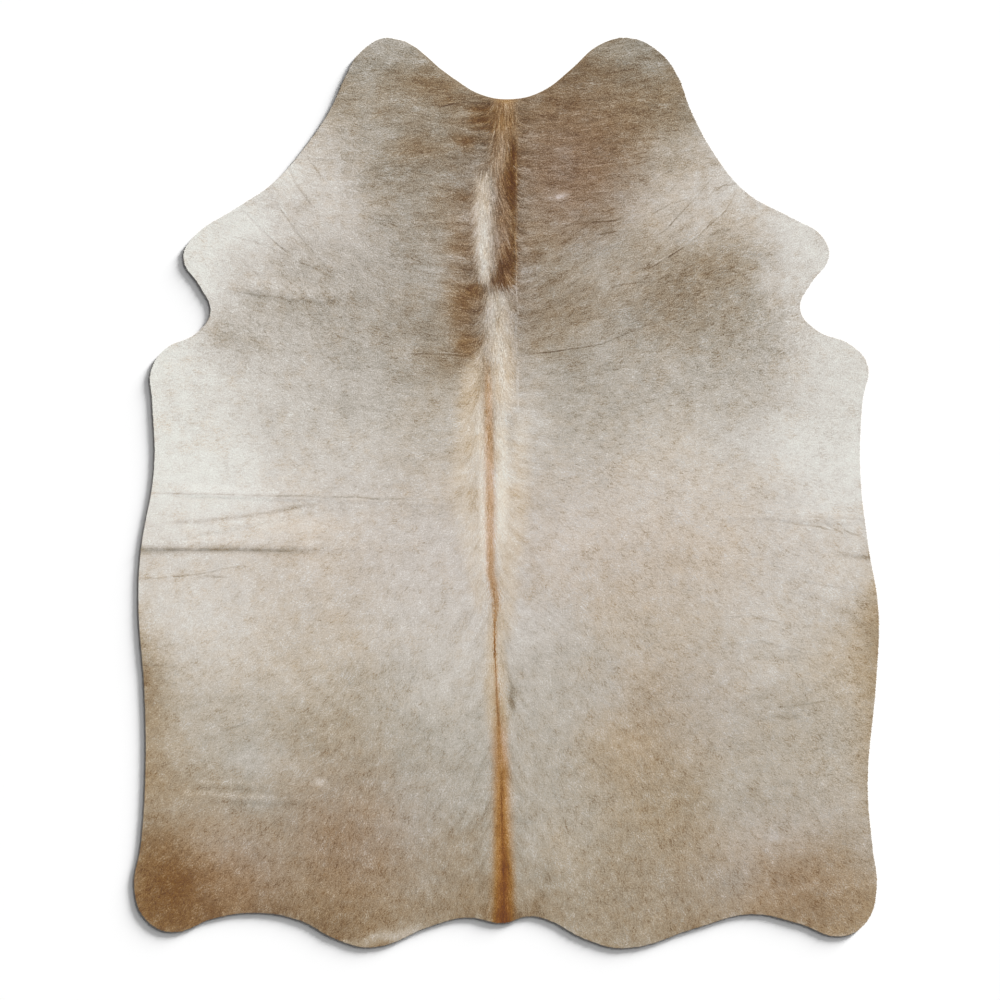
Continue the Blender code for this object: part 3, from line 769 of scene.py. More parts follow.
class HideToneSettings(bpy.types.PropertyGroup):
    """Colours of the hair, from pale to dark, cool and warm."""

    cool_0: colour_property("Ivory", "Palest cool hair", (224, 225, 218))
    cool_1: colour_property("Pearl", "Pale cool hair", (207, 203, 196))
    cool_2: colour_property("Stone", "Light cool hair", (185, 178, 168))
    cool_3: colour_property("Taupe", "Middle cool hair", (152, 146, 133))
    cool_4: colour_property("Earth", "Dark cool hair", (112, 100, 81))
    cool_5: colour_property("Bark", "Darkest cool hair", (71, 57, 42))
    warm_0: colour_property("Milk", "Palest warm hair", (240, 226, 202))
    warm_1: colour_property("Wheat", "Pale warm hair", (226, 202, 168))
    warm_2: colour_property("Honey", "Light warm hair", (201, 170, 121))
    warm_3: colour_property("Russet", "Middle warm hair", (165, 127, 64))
    warm_4: colour_property("Chestnut", "Dark warm hair", (125, 84, 25))
    warm_5: colour_property("Umber", "Darkest warm hair", (92, 52, 10))
    reddest: colour_property("Reddest", "Tint over the warm hair where it is reddest", (255, 231, 183))
    rosy: colour_property("Rosy", "Tint over the rosy hair", (255, 240, 250))
    roughness: bpy.props.FloatProperty(name="Roughness", description="Roughness of the hair",
                                       default=0.62, min=0.0, max=1.0, subtype="FACTOR")
    sheen: bpy.props.FloatProperty(name="Sheen", description="Soft sheen of the hair",
                                   default=0.10, min=0.0, max=1.0, subtype="FACTOR")


class HideStageSettings(bpy.types.PropertyGroup):
    """Floor, light and camera."""

    floor: colour_property("Floor", "Plain pale floor", (250, 250, 250))
    floor_size: length_property("Floor size", "Side of the square floor", 14.0)
    key: strength_property("Key", "Strength of the key light on the hide", 1.9)
    key_height: angle_property("Key height", "Height of the key light over the floor", 42.0)
    key_softness: angle_property("Key softness", "Angular size of the key light", 22.0)
    overhead: strength_property("Overhead", "Strength of the broad light above the hide", 1.98)
    overhead_softness: angle_property("Overhead softness", "Angular size of the overhead light", 110.0)
    rake: strength_property("Rake", "Strength of the low light along the floor", 21.7)
    rake_height: angle_property("Rake height", "Height of the low light over the floor", 5.65)
    rake_softness: angle_property("Rake softness", "Angular size of the low light", 8.2)
    floor_key: strength_property("Floor key", "Strength of the floor's own key light", 2.48)
    floor_key_height: angle_property("Floor key height", "Height of the floor's key light", 20.0)
    floor_key_softness: angle_property("Floor key softness", "Angular size of the floor's key", 26.0)
    light_turn: angle_property("Light turn", "Direction of the key and low lights, from the right", 45.0)
    fill: strength_property("Fill", "Strength of the even fill light", 0.10)
    lens: bpy.props.FloatProperty(name="Lens", description="Focal length in millimetres", default=85.0)
    view_width: length_property("View width", "Width of floor across the picture", 2.4176)
    view_x: length_property("View x", "Place across the hide under the camera", -0.0157)
    view_y: length_property("View y", "Place along the hide under the camera", -0.0169)


# ---------------------------------------------------------------- shape of the laid hide


def smooth(t):
    """Return a step from 0 to 1 with level ends."""
    t = np.clip(t, 0.0, 1.0)
    return t * t * (3.0 - 2.0 * t)


def bell(t):
    """Return 1 at nought, falling softly to 0 on both sides."""
    return np.exp(-t * t)


def graded(pair, share):
    """Return the pair's first number, plus as much of its second as the share says."""
    return pair[0] + pair[1] * share


def spot(x, y, cx, cy, rx, ry, turn=0.0):
    """Return 1 at the middle of an oval turned by some degrees, falling softly to 0 around it."""
    c = np.cos(np.radians(turn))
    s = np.sin(np.radians(turn))
    dx = x - cx
    dy = y - cy
    return bell(np.hypot((dx * c + dy * s) / rx, (dy * c - dx * s) / ry))


def mean_by_place(x, y, places, least):
    """Return the means of a table's last columns, each row counting most within its reach."""
    weight = np.full(np.shape(x), TINY)
    totals = [0.0] * len(places[0][4:])
    for _place, cx, cy, reach, *values in places:
        share = bell(np.hypot(x - cx, y - cy) / reach) + least
        weight = weight + share
        totals = [total + share * value for total, value in zip(totals, values)]
    return [total / weight for total in totals]


def fold_height(x, y, fold):
    """Return how far one fold lifts the hide."""
    _name, x0, y0, x1, y1, start_height, end_height, soft, steep = fold
    run = np.hypot(x1 - x0, y1 - y0)
    along = ((x - x0) * (x1 - x0) + (y - y0) * (y1 - y0)) / run
    t = np.clip(along / run, 0.0, 1.0)
    side = y - (y0 + (y1 - y0) * t)
    reach = np.where(side > 0.0, soft, steep)
    past_end = np.maximum(along - run, 0.0)
    height = (start_height + (end_height - start_height) * t) * smooth(along / FOLD_RUNIN)
    return height * smooth(1.0 - np.abs(side) / reach) * smooth(1.0 - past_end / FOLD_RUNOUT)


def lift(x, y):
    """Return the height of the hide's underside: nought but for the folds and swells."""
    height = sum(fold_height(x, y, fold) for fold in FOLDS)
    for _place, cx, cy, rx, ry, rise in SWELLS:
        height = height + rise * smooth(1.0 - np.hypot((x - cx) / rx, (y - cy) / ry))
    return height


def crease_strength(t, start, end):
    """Return a crease's shade a share t of the way along it, easing in and out at its ends."""
    return (start + (end - start) * t) * smooth(np.minimum(t, 1.0 - t) / CREASE_EASE)


def crease_profile(x, y, crease):
    """Return how strongly one crease marks each place, for relief and for painted shade."""
    _name, points, half_width, start, end = crease
    nearest = np.full(np.shape(x), np.inf)
    place = np.zeros(np.shape(x))
    run = 0.0
    for (x0, y0), (x1, y1) in zip(points, points[1:]):
        span = np.hypot(x1 - x0, y1 - y0)
        t = np.clip(((x - x0) * (x1 - x0) + (y - y0) * (y1 - y0)) / span ** 2, 0.0, 1.0)
        distance = np.hypot(x - x0 - (x1 - x0) * t, y - y0 - (y1 - y0) * t)
        closer = distance < nearest
        nearest = np.where(closer, distance, nearest)
        place = np.where(closer, run + span * t, place)
        run += span
    strength = crease_strength(place / run, start, end)
    if half_width >= SOFT_CREASE:
        return np.zeros(np.shape(x)), strength * bell(nearest / half_width)
    groove = strength * bell(nearest / (half_width + GROOVE_SPREAD))
    return groove, COAT_SHARE * strength * bell(nearest / (half_width + SHADE_SPREAD))


def creases(x, y):
    """Return the creases' relief and their painted shade, under nought for painted highlights."""
    relief = np.zeros(np.shape(x))
    shade = np.zeros(np.shape(x))
    for crease in CREASES:
        low = np.min(crease[1], axis=0) - CREASE_REACH
        high = np.max(crease[1], axis=0) + CREASE_REACH
        near = (x > low[0]) & (x < high[0]) & (y > low[1]) & (y < high[1])
        groove, line = crease_profile(x[near], y[near], crease)
        relief[near] -= GROOVE_DEPTH * groove
        shade[near] += line
    return relief, np.clip(shade, LEAST_SHADE, MOST_SHADE)


# ---------------------------------------------------------------- noise over the hide


@functools.cache
def lattice(layer):
    """Return a table of seeded random numbers for one layer of noise."""
    return np.random.default_rng(COAT_SEED + layer).random((NOISE_SIZE, NOISE_SIZE))


def speckle(x, y, cell, layer):
    """Return smooth noise from 0 to 1 with grains of the given size."""
    table = lattice(layer)
    u = x / cell
    v = y / cell
    column = np.floor(u).astype(np.int64)
    row = np.floor(v).astype(np.int64)
    fu = smooth(u - column)
    fv = smooth(v - row)
    c0 = column % NOISE_SIZE
    c1 = (column + 1) % NOISE_SIZE
    r0 = row % NOISE_SIZE
    r1 = (row + 1) % NOISE_SIZE
    low = table[r0, c0] * (1.0 - fu) + table[r0, c1] * fu
    high = table[r1, c0] * (1.0 - fu) + table[r1, c1] * fu
    return low * (1.0 - fv) + high * fv


def cloud(x, y, cell, layer):
    """Return noise of several sizes, from about -0.5 to 0.5."""
    total = np.zeros(np.shape(x))
    weight = 0.5
    for octave in range(OCTAVES):
        total = total + weight * (speckle(x, y, cell, layer + octave) - 0.5)
        weight *= OCTAVE_WEIGHT
        cell *= OCTAVE_SIZE
    return total


# ---------------------------------------------------------------- lie, length and tone of the hair


def spine_distance(x, y):
    """Return the signed distance across from the spine's line."""
    ys, xs = zip(*SPINE)
    return x - np.interp(y, ys, xs)


def lie_direction(x, y):
    """Return the direction in which the hair lies, as two arrays."""
    ys, centre, left, right, fans = zip(*PARTING)
    side = x - np.interp(y, ys, centre)
    reach = np.where(side < 0.0, np.interp(y, ys, left), np.interp(y, ys, right))
    out = np.abs(side)
    (angle,) = mean_by_place(out, y, LIE, LIE_LEAST)
    parting = np.exp(-(out / reach) ** PARTING_EDGE)
    fan = np.interp(y, ys, fans) * np.minimum(out / reach, 1.0)
    angle = angle + (90.0 - fan - angle) * parting
    angle = np.radians(angle + graded(LIE_WANDER, parting) * cloud(x, y, *LIE_NOISE))
    outward = np.where(side < 0.0, -1.0, 1.0)
    return outward * np.cos(angle), -np.sin(angle)


def sleekness(x, y):
    """Return 1 where the coat lies in long sleek strands, falling to 0 where it is curly."""
    reach = np.interp(y, *zip(*SLEEK_REACH))
    return bell(spine_distance(x, y) / reach)


def hair_habit(x, y):
    """Return the hair's length, and how far it is spine hair and standing mane."""
    ys, spine, body, standing = zip(*HAIR)
    on_spine = bell(spine_distance(x, y) / MANE_REACH)
    length = np.interp(y, ys, spine) * on_spine + np.interp(y, ys, body) * (1.0 - on_spine)
    return length, on_spine, on_spine * np.interp(y, ys, standing)


def blend_towards(tone, target, amount):
    """Return a tone moved towards a target by an amount from 0 to 1."""
    return tone + (target - tone) * amount


def coat_tone(x, y):
    """Return the coat's depth of tone, its warmth and how rosy it is."""
    waved = (x + WAVE * cloud(x, y, *WAVE_X_NOISE), y + WAVE * cloud(x, y, *WAVE_Y_NOISE))
    depth, warmth = mean_by_place(*waved, BODY_TONES, TONE_LEAST)
    for _name, *oval, mark_depth, mark_warmth, strength in MARKINGS:
        places = waved if oval[2] > SMALL_MARKING else (x, y)
        amount = strength * spot(*places, *oval)
        depth = blend_towards(depth, mark_depth, amount)
        warmth = blend_towards(warmth, mark_warmth, amount)
    rosy = np.zeros(np.shape(x))
    for _name, *oval, strength in ROSY_AREAS:
        rosy = np.maximum(rosy, strength * spot(x, y, *oval))
    for _name, stripe_rosy, rows in STRIPES:
        table = np.array(rows[::-1])
        ys = table[:, 0]
        centre, half_width, stripe_depth, stripe_warmth, strength = (
            np.interp(y, ys, table[:, i]) for i in range(1, 6))
        inside = (y > ys[0] - STRIPE_RUNOUT) & (y < ys[-1] + STRIPE_RUNOUT)
        border = SOFT_BORDER if np.max(table[:, 2]) > SOFT_STRIPE else FIRM_BORDER
        amount = inside * strength * np.exp(-np.abs((x - centre) / half_width) ** border)
        depth = blend_towards(depth, stripe_depth, amount)
        warmth = blend_towards(warmth, stripe_warmth, amount)
        rosy = blend_towards(rosy, stripe_rosy, amount)
    for _name, *oval, more_depth, more_warmth in PATCHES:
        amount = spot(x, y, *oval)
        depth += more_depth * amount
        warmth += more_warmth * amount
    return depth, warmth, rosy


def strand_streak(x, y, lie_x, lie_y, reach, grain, layer):
    """Return streaks drawn out along the lie of the hair, above and below nought."""
    steps = np.linspace(-reach, reach, STREAK_STEPS)
    total = sum(speckle(x + step * lie_x, y + step * lie_y, grain, layer) for step in steps)
    return np.clip(STREAK_GAIN * (total / STREAK_STEPS - 0.5), -STREAK_LIMIT, STREAK_LIMIT)


def marbling(x, y, lie_x, lie_y, sleek):
    """Return how patches and long streaks of hair change the depth of tone and the warmth."""
    patchy = np.interp(y, *zip(*PATCHINESS))
    streaks = strand_streak(x, y, lie_x, lie_y, LONG_STREAK_REACH, *LONG_STREAK_NOISE)
    streaks = graded(LONG_STREAK, sleek) * streaks
    patches = patchy * PATCH * cloud(x, y, *PATCH_NOISE)
    patches = patches + graded(FINE_PATCH, sleek) * cloud(x, y, *FINE_PATCH_NOISE)
    warm = WARM_PATCH * patchy * cloud(x, y, *WARM_PATCH_NOISE)
    return streaks + patches, PATCH_WARMTH * patches + STREAK_WARMTH * streaks + warm


# ---------------------------------------------------------------- outline

# Points that agree when counted in hundredths of a millimetre are one point of the solid.
HUNDREDTHS = 1e5
# Points of the skin closer than this are one point.
SAME_POINT = 1e-5
# Triangles that face up by at least this belong to the solid's coat side.
COAT_SIDE = 0.2
# Stands for the rise of a level side, which no crossing uses.
LEVEL = 1e-12
# Places worked on at a time, to keep memory small.
BATCH = 4000


def hide_outline():
    """Return the hide's outline from its CAD solid, as an ordered loop of points."""
    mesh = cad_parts["hide"].data
    mesh.calc_loop_triangles()
    coords = np.array([v.co for v in mesh.vertices])
    keys = {}
    merged = [keys.setdefault(tuple(np.round(c * HUNDREDTHS).astype(int)), i)
              for i, c in enumerate(coords)]
    ways = {}
    for triangle in mesh.loop_triangles:
        if triangle.normal.z < COAT_SIDE:
            continue
        a, b, c = (merged[i] for i in triangle.vertices)
        ways.update(dict.fromkeys([(a, b), (b, c), (c, a)]))
    follow = {a: b for (a, b) in ways if (b, a) not in ways}
    start = next(iter(follow))
    loop = [start]
    while follow[loop[-1]] != start:
        loop.append(follow[loop[-1]])
    if len(loop) != len(follow):
        raise RuntimeError("the hide's outline isn't one loop")
    return coords[loop][:, :2]


def edge_distance(x, y, outline):
    """Return each place's distance from the outline, above nought inside it."""
    ax, ay = outline.T
    bx, by = np.roll(outline, -1, axis=0).T
    ex = bx - ax
    ey = by - ay
    squared = ex ** 2 + ey ** 2
    result = np.empty(len(x))
    for first in range(0, len(x), BATCH):
        part = slice(first, first + BATCH)
        px = x[part, None]
        py = y[part, None]
        t = np.clip(((px - ax) * ex + (py - ay) * ey) / squared, 0.0, 1.0)
        nearest = np.hypot(px - ax - ex * t, py - ay - ey * t).min(axis=1)
        spans = (ay > py) != (by > py)
        crossing = ax + (py - ay) / np.where(ey == 0.0, LEVEL, ey) * ex
        inside = (spans & (px < crossing)).sum(axis=1) % 2 == 1
        result[part] = np.where(inside, nearest, -nearest)
    return result


def even_loop(outline, step, inset):
    """Return the outline at even steps, drawn in by a small inset."""
    closed = np.vstack([outline, outline[:1]])
    spans = np.hypot(*np.diff(closed, axis=0).T)
    run = np.concatenate([[0.0], np.cumsum(spans)])
    places = np.linspace(0.0, run[-1], int(run[-1] / step), endpoint=False)
    loop = np.column_stack([np.interp(places, run, closed[:, i]) for i in (0, 1)])
    tangent = np.roll(loop, -1, axis=0) - np.roll(loop, 1, axis=0)
    tangent /= np.hypot(*tangent.T)[:, None]
    inward = np.column_stack([-tangent[:, 1], tangent[:, 0]])
    doubled_area = np.sum(loop[:, 0] * np.roll(loop[:, 1], -1) - loop[:, 1] * np.roll(loop[:, 0], -1))
    return loop + inward * inset * np.sign(doubled_area)


# ---------------------------------------------------------------- skin


def row_places(skin):
    """Return the skin's rows, close together where the flank folds run."""
    low, high = FOLD_ROWS
    below = np.arange(low, CAD_LOW.y, -skin.step)[::-1]
    across = np.arange(low + skin.fold_step, high, skin.fold_step)
    above = np.arange(high, CAD_HIGH.y, skin.step)
    return np.concatenate([below, across, above])


def skin_surface(skin, outline):
    """Return the points and triangles of the skin's plan."""
    rim = even_loop(outline, RIM_STEP, skin.trim)
    columns = np.arange(CAD_LOW.x, CAD_HIGH.x, skin.step)
    x, y = (a.ravel() for a in np.meshgrid(columns, row_places(skin)))
    keep = edge_distance(x, y, outline) > skin.trim + 0.5 * skin.fold_step
    points = [Vector(p) for p in rim] + [Vector(p) for p in zip(x[keep], y[keep])]
    ring = list(range(len(rim)))
    plan = delaunay_2d_cdt(points, [], [ring], 1, SAME_POINT)
    return np.array([tuple(p) for p in plan[0]]), [tuple(f) for f in plan[2]]


def add_vector_attribute(mesh, name, values):
    """Keep three numbers a point on the mesh, for its material."""
    attribute = mesh.attributes.new(name, "FLOAT_VECTOR", "POINT")
    attribute.data.foreach_set("vector", values.astype(np.float32).ravel())


def link_piece(name, mesh):
    """Make an object of a mesh and put it in the scene."""
    piece = bpy.data.objects.new(name, mesh)
    bpy.context.scene.collection.objects.link(piece)
    return piece


def build_skin(settings):
    """Make the leather: a sheet over the folds, with a coat side, a flesh side and a cut edge."""
    plan, faces = skin_surface(settings, hide_outline())
    x, y = plan.T
    _relief, shade = creases(x, y)
    z = lift(x, y)
    mesh = bpy.data.meshes.new("skin")
    mesh.from_pydata(np.column_stack([x, y, z]).tolist(), [], faces)
    depth, warmth, rosy = coat_tone(x, y)
    half = np.full(len(x), 0.5)
    # The skin takes the creases' painted shade, but not their painted highlights.
    add_vector_attribute(mesh, "tone", np.stack([depth, warmth, np.maximum(shade, 0.0)], axis=1))
    add_vector_attribute(mesh, "strand", np.stack([rosy, half, half], axis=1))
    mesh.materials.append(coat_skin_material())
    mesh.materials.append(suede_material("suede flesh side", settings.suede))
    mesh.materials.append(suede_material("cut leather edge", settings.cut))
    if mesh.polygons[0].normal.z < 0.0:
        mesh.flip_normals()
    piece = link_piece("skin", mesh)
    solid = piece.modifiers.new("leather", "SOLIDIFY")
    solid.thickness = settings.thickness
    solid.offset = 1.0
    solid.material_offset = 1
    solid.material_offset_rim = 2
    return piece


# ---------------------------------------------------------------- coat


def scattered_roots(spacing, box, random):
    """Return jittered places on a staggered grid."""
    (x0, y0), (x1, y1) = box
    rows = int((y1 - y0) / (spacing * ROW_SHARE)) + 1
    columns = int((x1 - x0) / spacing) + 1
    grid = np.meshgrid(np.arange(rows), np.arange(columns), indexing="ij")
    row, column = (a.ravel() for a in grid)
    x = x0 + (column + 0.5 * (row % 2)) * spacing
    y = y0 + row * spacing * ROW_SHARE
    jitter = random.uniform(-ROOT_JITTER, ROOT_JITTER, (2, len(x))) * spacing
    return x + jitter[0], y + jitter[1]


def rim_roots(spacing, outline, random):
    """Return places close inside the trimmed edge, so that no skin shows there."""
    loops = np.vstack([even_loop(outline, spacing, inset) for inset in RIM_INSETS])
    return (loops + random.normal(0.0, RIM_JITTER, loops.shape)).T


def crease_rows(spacing, random):
    """Return the fine locks that draw the creases: x, y, the way they lie, and their painted shade."""
    rows = []
    for _name, points, half_width, start, end in CREASES:
        if half_width >= SOFT_CREASE:
            continue
        line = np.array(points)
        if abs(points[0][0]) > abs(points[-1][0]):
            line = line[::-1]
            start, end = end, start
        spans = np.diff(line, axis=0)
        run = np.concatenate([[0.0], np.cumsum(np.hypot(*spans.T))])
        way = spans / np.hypot(*spans.T)[:, None]
        strokes = [(0.0, LINE_SHARE, spacing)]
        # The thinnest lines get a pale lip beside them, a painted highlight.
        if half_width < LIPPED_CREASE:
            strokes.append((half_width + LIP_OFFSET, LINE_SHARE * LIP_HIGHLIGHT, LIP_SPACING * spacing))
        for offset, share, step in strokes:
            places = np.arange(0.0, run[-1], step)
            span = np.clip(np.searchsorted(run, places, side="right") - 1, 0, len(spans) - 1)
            way_x, way_y = way[span].T
            stray = random.normal(0.0, LINE_STRAY * half_width, len(places))
            across = offset * np.sign(way_x) + stray
            x, y = (np.mean([np.interp(places + bend, run, line[:, i]) for bend in LINE_BEND], axis=0)
                    for i in (0, 1))
            x = x - way_y * across
            y = y + way_x * across
            shade = share * crease_strength(places / run[-1], start, end)
            shade *= graded(LINE_BREAKS, speckle(x, y, *LINE_BREAK_NOISE))
            rows.append(np.stack([x, y, way_x, way_y, shade, np.full(len(places), half_width)]))
    return np.hstack(rows)


def coat_roots(coat, outline, random):
    """Return the locks' roots and their distances inside the edge.

    The roots' rows are x, y, lie across, lie along, and the painted shade and half width of a crease's
    locks.
    """
    body = scattered_roots(coat.spacing, (CAD_LOW.xy, CAD_HIGH.xy), random)
    spine_box = ((SPINE_BAND[0], CAD_LOW.y), (SPINE_BAND[1], CAD_HIGH.y))
    spine = scattered_roots(coat.spine_spacing, spine_box, random)
    x, y = np.hstack([body, spine, rim_roots(coat.rim_spacing, outline, random)])
    none = np.zeros(len(x))
    rows = np.hstack([np.stack([x, y, *lie_direction(x, y), none, none]),
                      crease_rows(coat.crease_spacing, random)])
    inside = edge_distance(rows[0], rows[1], outline)
    keep = inside > ROOT_INSET
    return rows[:, keep], inside[keep]


def trimmed_lengths(x, y, lie_x, lie_y, length, inside, outline, overhang):
    """Return the locks' lengths, cut where they reach the trimmed edge."""
    near = np.flatnonzero(inside < length)
    shortest = np.zeros(len(near))
    longest = length[near].copy()
    trial = longest
    for _cut in range(LENGTH_CUTS):
        tip_x = x[near] + lie_x[near] * trial
        tip_y = y[near] + lie_y[near] * trial
        fits = edge_distance(tip_x, tip_y, outline) > -overhang
        shortest = np.where(fits, trial, shortest)
        longest = np.where(fits, longest, trial)
        trial = 0.5 * (shortest + longest)
    length[near] = np.maximum(shortest, LEAST_LENGTH)
    return length


def lock_points(x, y, lie_x, lie_y, length, width, rise, roll, bend, over):
    """Return each lock's root, left, right and tip points, and the creases' painted shade at each."""
    corners = (
        (0.0, 0.0, -ROOT_DEPTH),
        (WIDEST_AT, bend + 0.5 * width, (0.5 + roll) * rise),
        (WIDEST_AT, bend - 0.5 * width, (0.5 - roll) * rise),
        (1.0, 0.0, rise),
    )
    points = []
    shades = []
    for along, across, up in corners:
        px = x + lie_x * along * length - lie_y * across
        py = y + lie_y * along * length + lie_x * across
        relief, shade = creases(px, py)
        points.append(np.column_stack([px, py, lift(px, py) + relief + over + up]))
        shades.append(shade)
    points = np.stack(points, axis=1)
    points[..., 2] = np.maximum(points[..., 2], LEAST_HEIGHT)
    return points, np.stack(shades, axis=1)


def lock_tones(x, y, lie_x, lie_y, length, sleek, mane, random):
    """Return each lock's depth, warmth, rosiness, streak and luck, one tone for the whole lock."""
    count = len(x)
    feather = (FEATHER + random.uniform(-FEATHER_RANGE, FEATHER_RANGE, count)) * length
    drift = random.normal(0.0, FEATHER_DRIFT, count)
    tone_x = x + lie_x * feather - lie_y * drift
    tone_y = y + lie_y * feather + lie_x * drift
    depth, warmth, rosy = coat_tone(tone_x, tone_y)
    more_depth, more_warmth = marbling(tone_x, tone_y, lie_x, lie_y, sleek)
    depth = np.clip(depth + more_depth, 0.0, 1.0)
    warmth = np.clip(warmth + more_warmth, 0.0, MOST_WARMTH)
    contrast = np.interp(y, *zip(*CONTRAST)) + MANE_CONTRAST * mane
    reach = graded(STREAK_REACH, sleek)
    streak = strand_streak(tone_x, tone_y, lie_x, lie_y, reach, *STREAK_NOISE)
    luck = random.random(count) - 0.5
    return depth, warmth, rosy, 0.5 + contrast * streak, 0.5 + contrast * luck


def build_locks(coat):
    """Return the points, tones and strand values of every lock, four points a lock."""
    random = np.random.default_rng(COAT_SEED)
    outline = hide_outline()
    (x, y, lie_x, lie_y, crease_shade, crease_width), inside = coat_roots(coat, outline, random)
    count = len(x)
    on_crease = crease_width > 0.0
    length, on_spine, mane = hair_habit(x, y)
    sleek = sleekness(x, y)

    spread = np.where(on_crease, CREASE_LOCK_STRAY, graded(STRAY, sleek) + MANE_STRAY * mane)
    stray = random.normal(0.0, 1.0, count) * np.radians(spread)
    lie_x, lie_y = (lie_x * np.cos(stray) - lie_y * np.sin(stray),
                    lie_x * np.sin(stray) + lie_y * np.cos(stray))
    length = np.where(on_crease, CREASE_LOCK_LENGTH, length) * random.uniform(*LENGTH_RANGE, count)
    length = trimmed_lengths(x, y, lie_x, lie_y, length, inside, outline, coat.overhang)
    width = graded((coat.width, coat.spine_width - coat.width), on_spine)
    width = np.where(on_crease, CREASE_LOCK_WIDTH + crease_width, width)
    width = np.minimum(width * random.uniform(*WIDTH_RANGE, count), 2.0 * inside)
    rise = graded((coat.rise, coat.spine_rise - coat.rise), mane) * random.uniform(*RISE_RANGE, count)
    rise = rise * smooth(EDGE_RISE + inside / EDGE_RISE_REACH)
    roll = np.where(on_crease, CREASE_LOCK_ROLL, ROLL) * random.uniform(-1.0, 1.0, count)
    bend = random.uniform(-BEND, BEND, count) * length
    over = bpy.context.scene.hide_skin.thickness + on_crease * coat.crease_rise

    points, shade = lock_points(x, y, lie_x, lie_y, length, width, rise, roll, bend, over)
    # The creases' painted shade, and that of the fine locks that draw them, goes into each lock's tone.
    shade = shade + crease_shade[:, None]
    depth, warmth, *strand = lock_tones(x, y, lie_x, lie_y, length, sleek, mane, random)
    tone = np.stack([np.repeat(depth[:, None], 4, 1), np.repeat(warmth[:, None], 4, 1), shade], axis=2)
    strand = np.repeat(np.stack(strand, axis=1)[:, None], 4, 1)
    return points, tone, strand


# A lock's four triangles, closed: it has a ridge on top and a flat underside.
LOCK_FACES = np.array([(0, 2, 1), (2, 3, 1), (0, 1, 3), (0, 3, 2)])


def lock_mesh(name, points, tone, strand):
    """Make one mesh of closed four-sided locks."""
    count = len(points)
    faces = (LOCK_FACES[None] + 4 * np.arange(count)[:, None, None]).reshape(-1, 3)
    mesh = bpy.data.meshes.new(name)
    mesh.vertices.add(4 * count)
    mesh.vertices.foreach_set("co", points.astype(np.float32).ravel())
    mesh.loops.add(faces.size)
    mesh.loops.foreach_set("vertex_index", faces.astype(np.int32).ravel())
    mesh.polygons.add(len(faces))
    mesh.polygons.foreach_set("loop_start", np.arange(0, faces.size, 3, dtype=np.int32))
    mesh.update(calc_edges=True)
    mesh.shade_flat()
    add_vector_attribute(mesh, "tone", tone)
    add_vector_attribute(mesh, "strand", strand)
    plan = points[..., :2].reshape(-1, 2)
    low = plan.min(axis=0)
    high = plan.max(axis=0)
    uv = mesh.uv_layers.new(name="OFBake")
    uv.data.foreach_set("uv", ((plan - low) / (high - low))[faces.ravel()].astype(np.float32).ravel())
    return mesh


def build_coat(coat):
    """Make the coat: lengthwise strips of locks, from the left flank to the right."""
    points, tone, strand = build_locks(coat)
    order = np.argsort(points[:, 0, 0], kind="stable")
    material = coat_material()
    pieces = []
    for number, part in enumerate(np.array_split(order, coat.strips), start=1):
        name = f"coat_strip_{number}"
        mesh = lock_mesh(name, points[part], tone[part], strand[part])
        mesh.materials.append(material)
        pieces.append(link_piece(name, mesh))
    return pieces


# ---------------------------------------------------------------- materials

# Noises of the hair and the suede: grains in a metre, detail, roughness.
MOTTLE_NOISE = (22.0, 3.0, 0.55)
HAIR_NOISE = (380.0, 2.0, 0.7)
BLOTCH_NOISE = (14.0, 4.0, 0.55)
NAP_NOISE = (900.0, 2.0, 0.7)
# Streaks show this much on the palest hair, and more as it gets darker.
STREAK_FLOOR = 0.30
# The grain grows from the middle of the hide towards the neck, all of it within a third of a
# metre.
NECK_SLOPE = 3.0
# The cool and the warm tones each have this many colours, from pale to dark.
TONE_STEPS = 6
# Change of the hair's depth of tone, and strength of its relief, in its two materials. On the skin the
# hair's tone
# is a little paler than on the locks: painted light against the shade that falls in the gaps between
# them.
ON_THE_COAT = (-0.003, 0.08)
ON_THE_SKIN = (-0.01, 0.12)
HAIR_RELIEF = 0.0006
NAP_RELIEF = 0.0004
NAP_STRENGTH = 0.6
NAP_ROUGHNESS = (0.80, 0.15)
BLOTCH_TINT = (0.72, 0.66, 0.58, 1.0)


def new_group(name, inputs, outputs):
    """Make a shader group. Inputs and outputs are (name, socket type, default)."""
    group = bpy.data.node_groups.new(name, "ShaderNodeTree")
    for socket_name, kind, default in inputs:
        socket = group.interface.new_socket(name=socket_name, in_out="INPUT", socket_type=kind)
        if default is not None:
            socket.default_value = default
    for socket_name, kind, _default in outputs:
        group.interface.new_socket(name=socket_name, in_out="OUTPUT", socket_type=kind)
    entry = group.nodes.new("NodeGroupInput")
    result = group.nodes.new("NodeGroupOutput")
    return group, entry, result


def math_node(tree, operation, a, b, clamp=False):
    """Add one operation on two values, each a socket or a number, and return its output."""
    node = tree.nodes.new("ShaderNodeMath")
    node.operation = operation
    node.use_clamp = clamp
    for socket, value in zip(node.inputs, (a, b)):
        if isinstance(value, (int, float)):
            socket.default_value = value
        else:
            tree.links.new(value, socket)
    return node.outputs["Value"]


def parts_of(tree, vector):
    """Split a vector and return its three numbers."""
    node = tree.nodes.new("ShaderNodeSeparateXYZ")
    tree.links.new(vector, node.inputs[0])
    return node.outputs


def noise_node(tree, vector, scale, detail, roughness):
    """Add noise over the object's own space and return its values."""
    node = tree.nodes.new("ShaderNodeTexNoise")
    node.inputs["Scale"].default_value = scale
    node.inputs["Detail"].default_value = detail
    node.inputs["Roughness"].default_value = roughness
    tree.links.new(vector, node.inputs["Vector"])
    return node.outputs["Fac"]


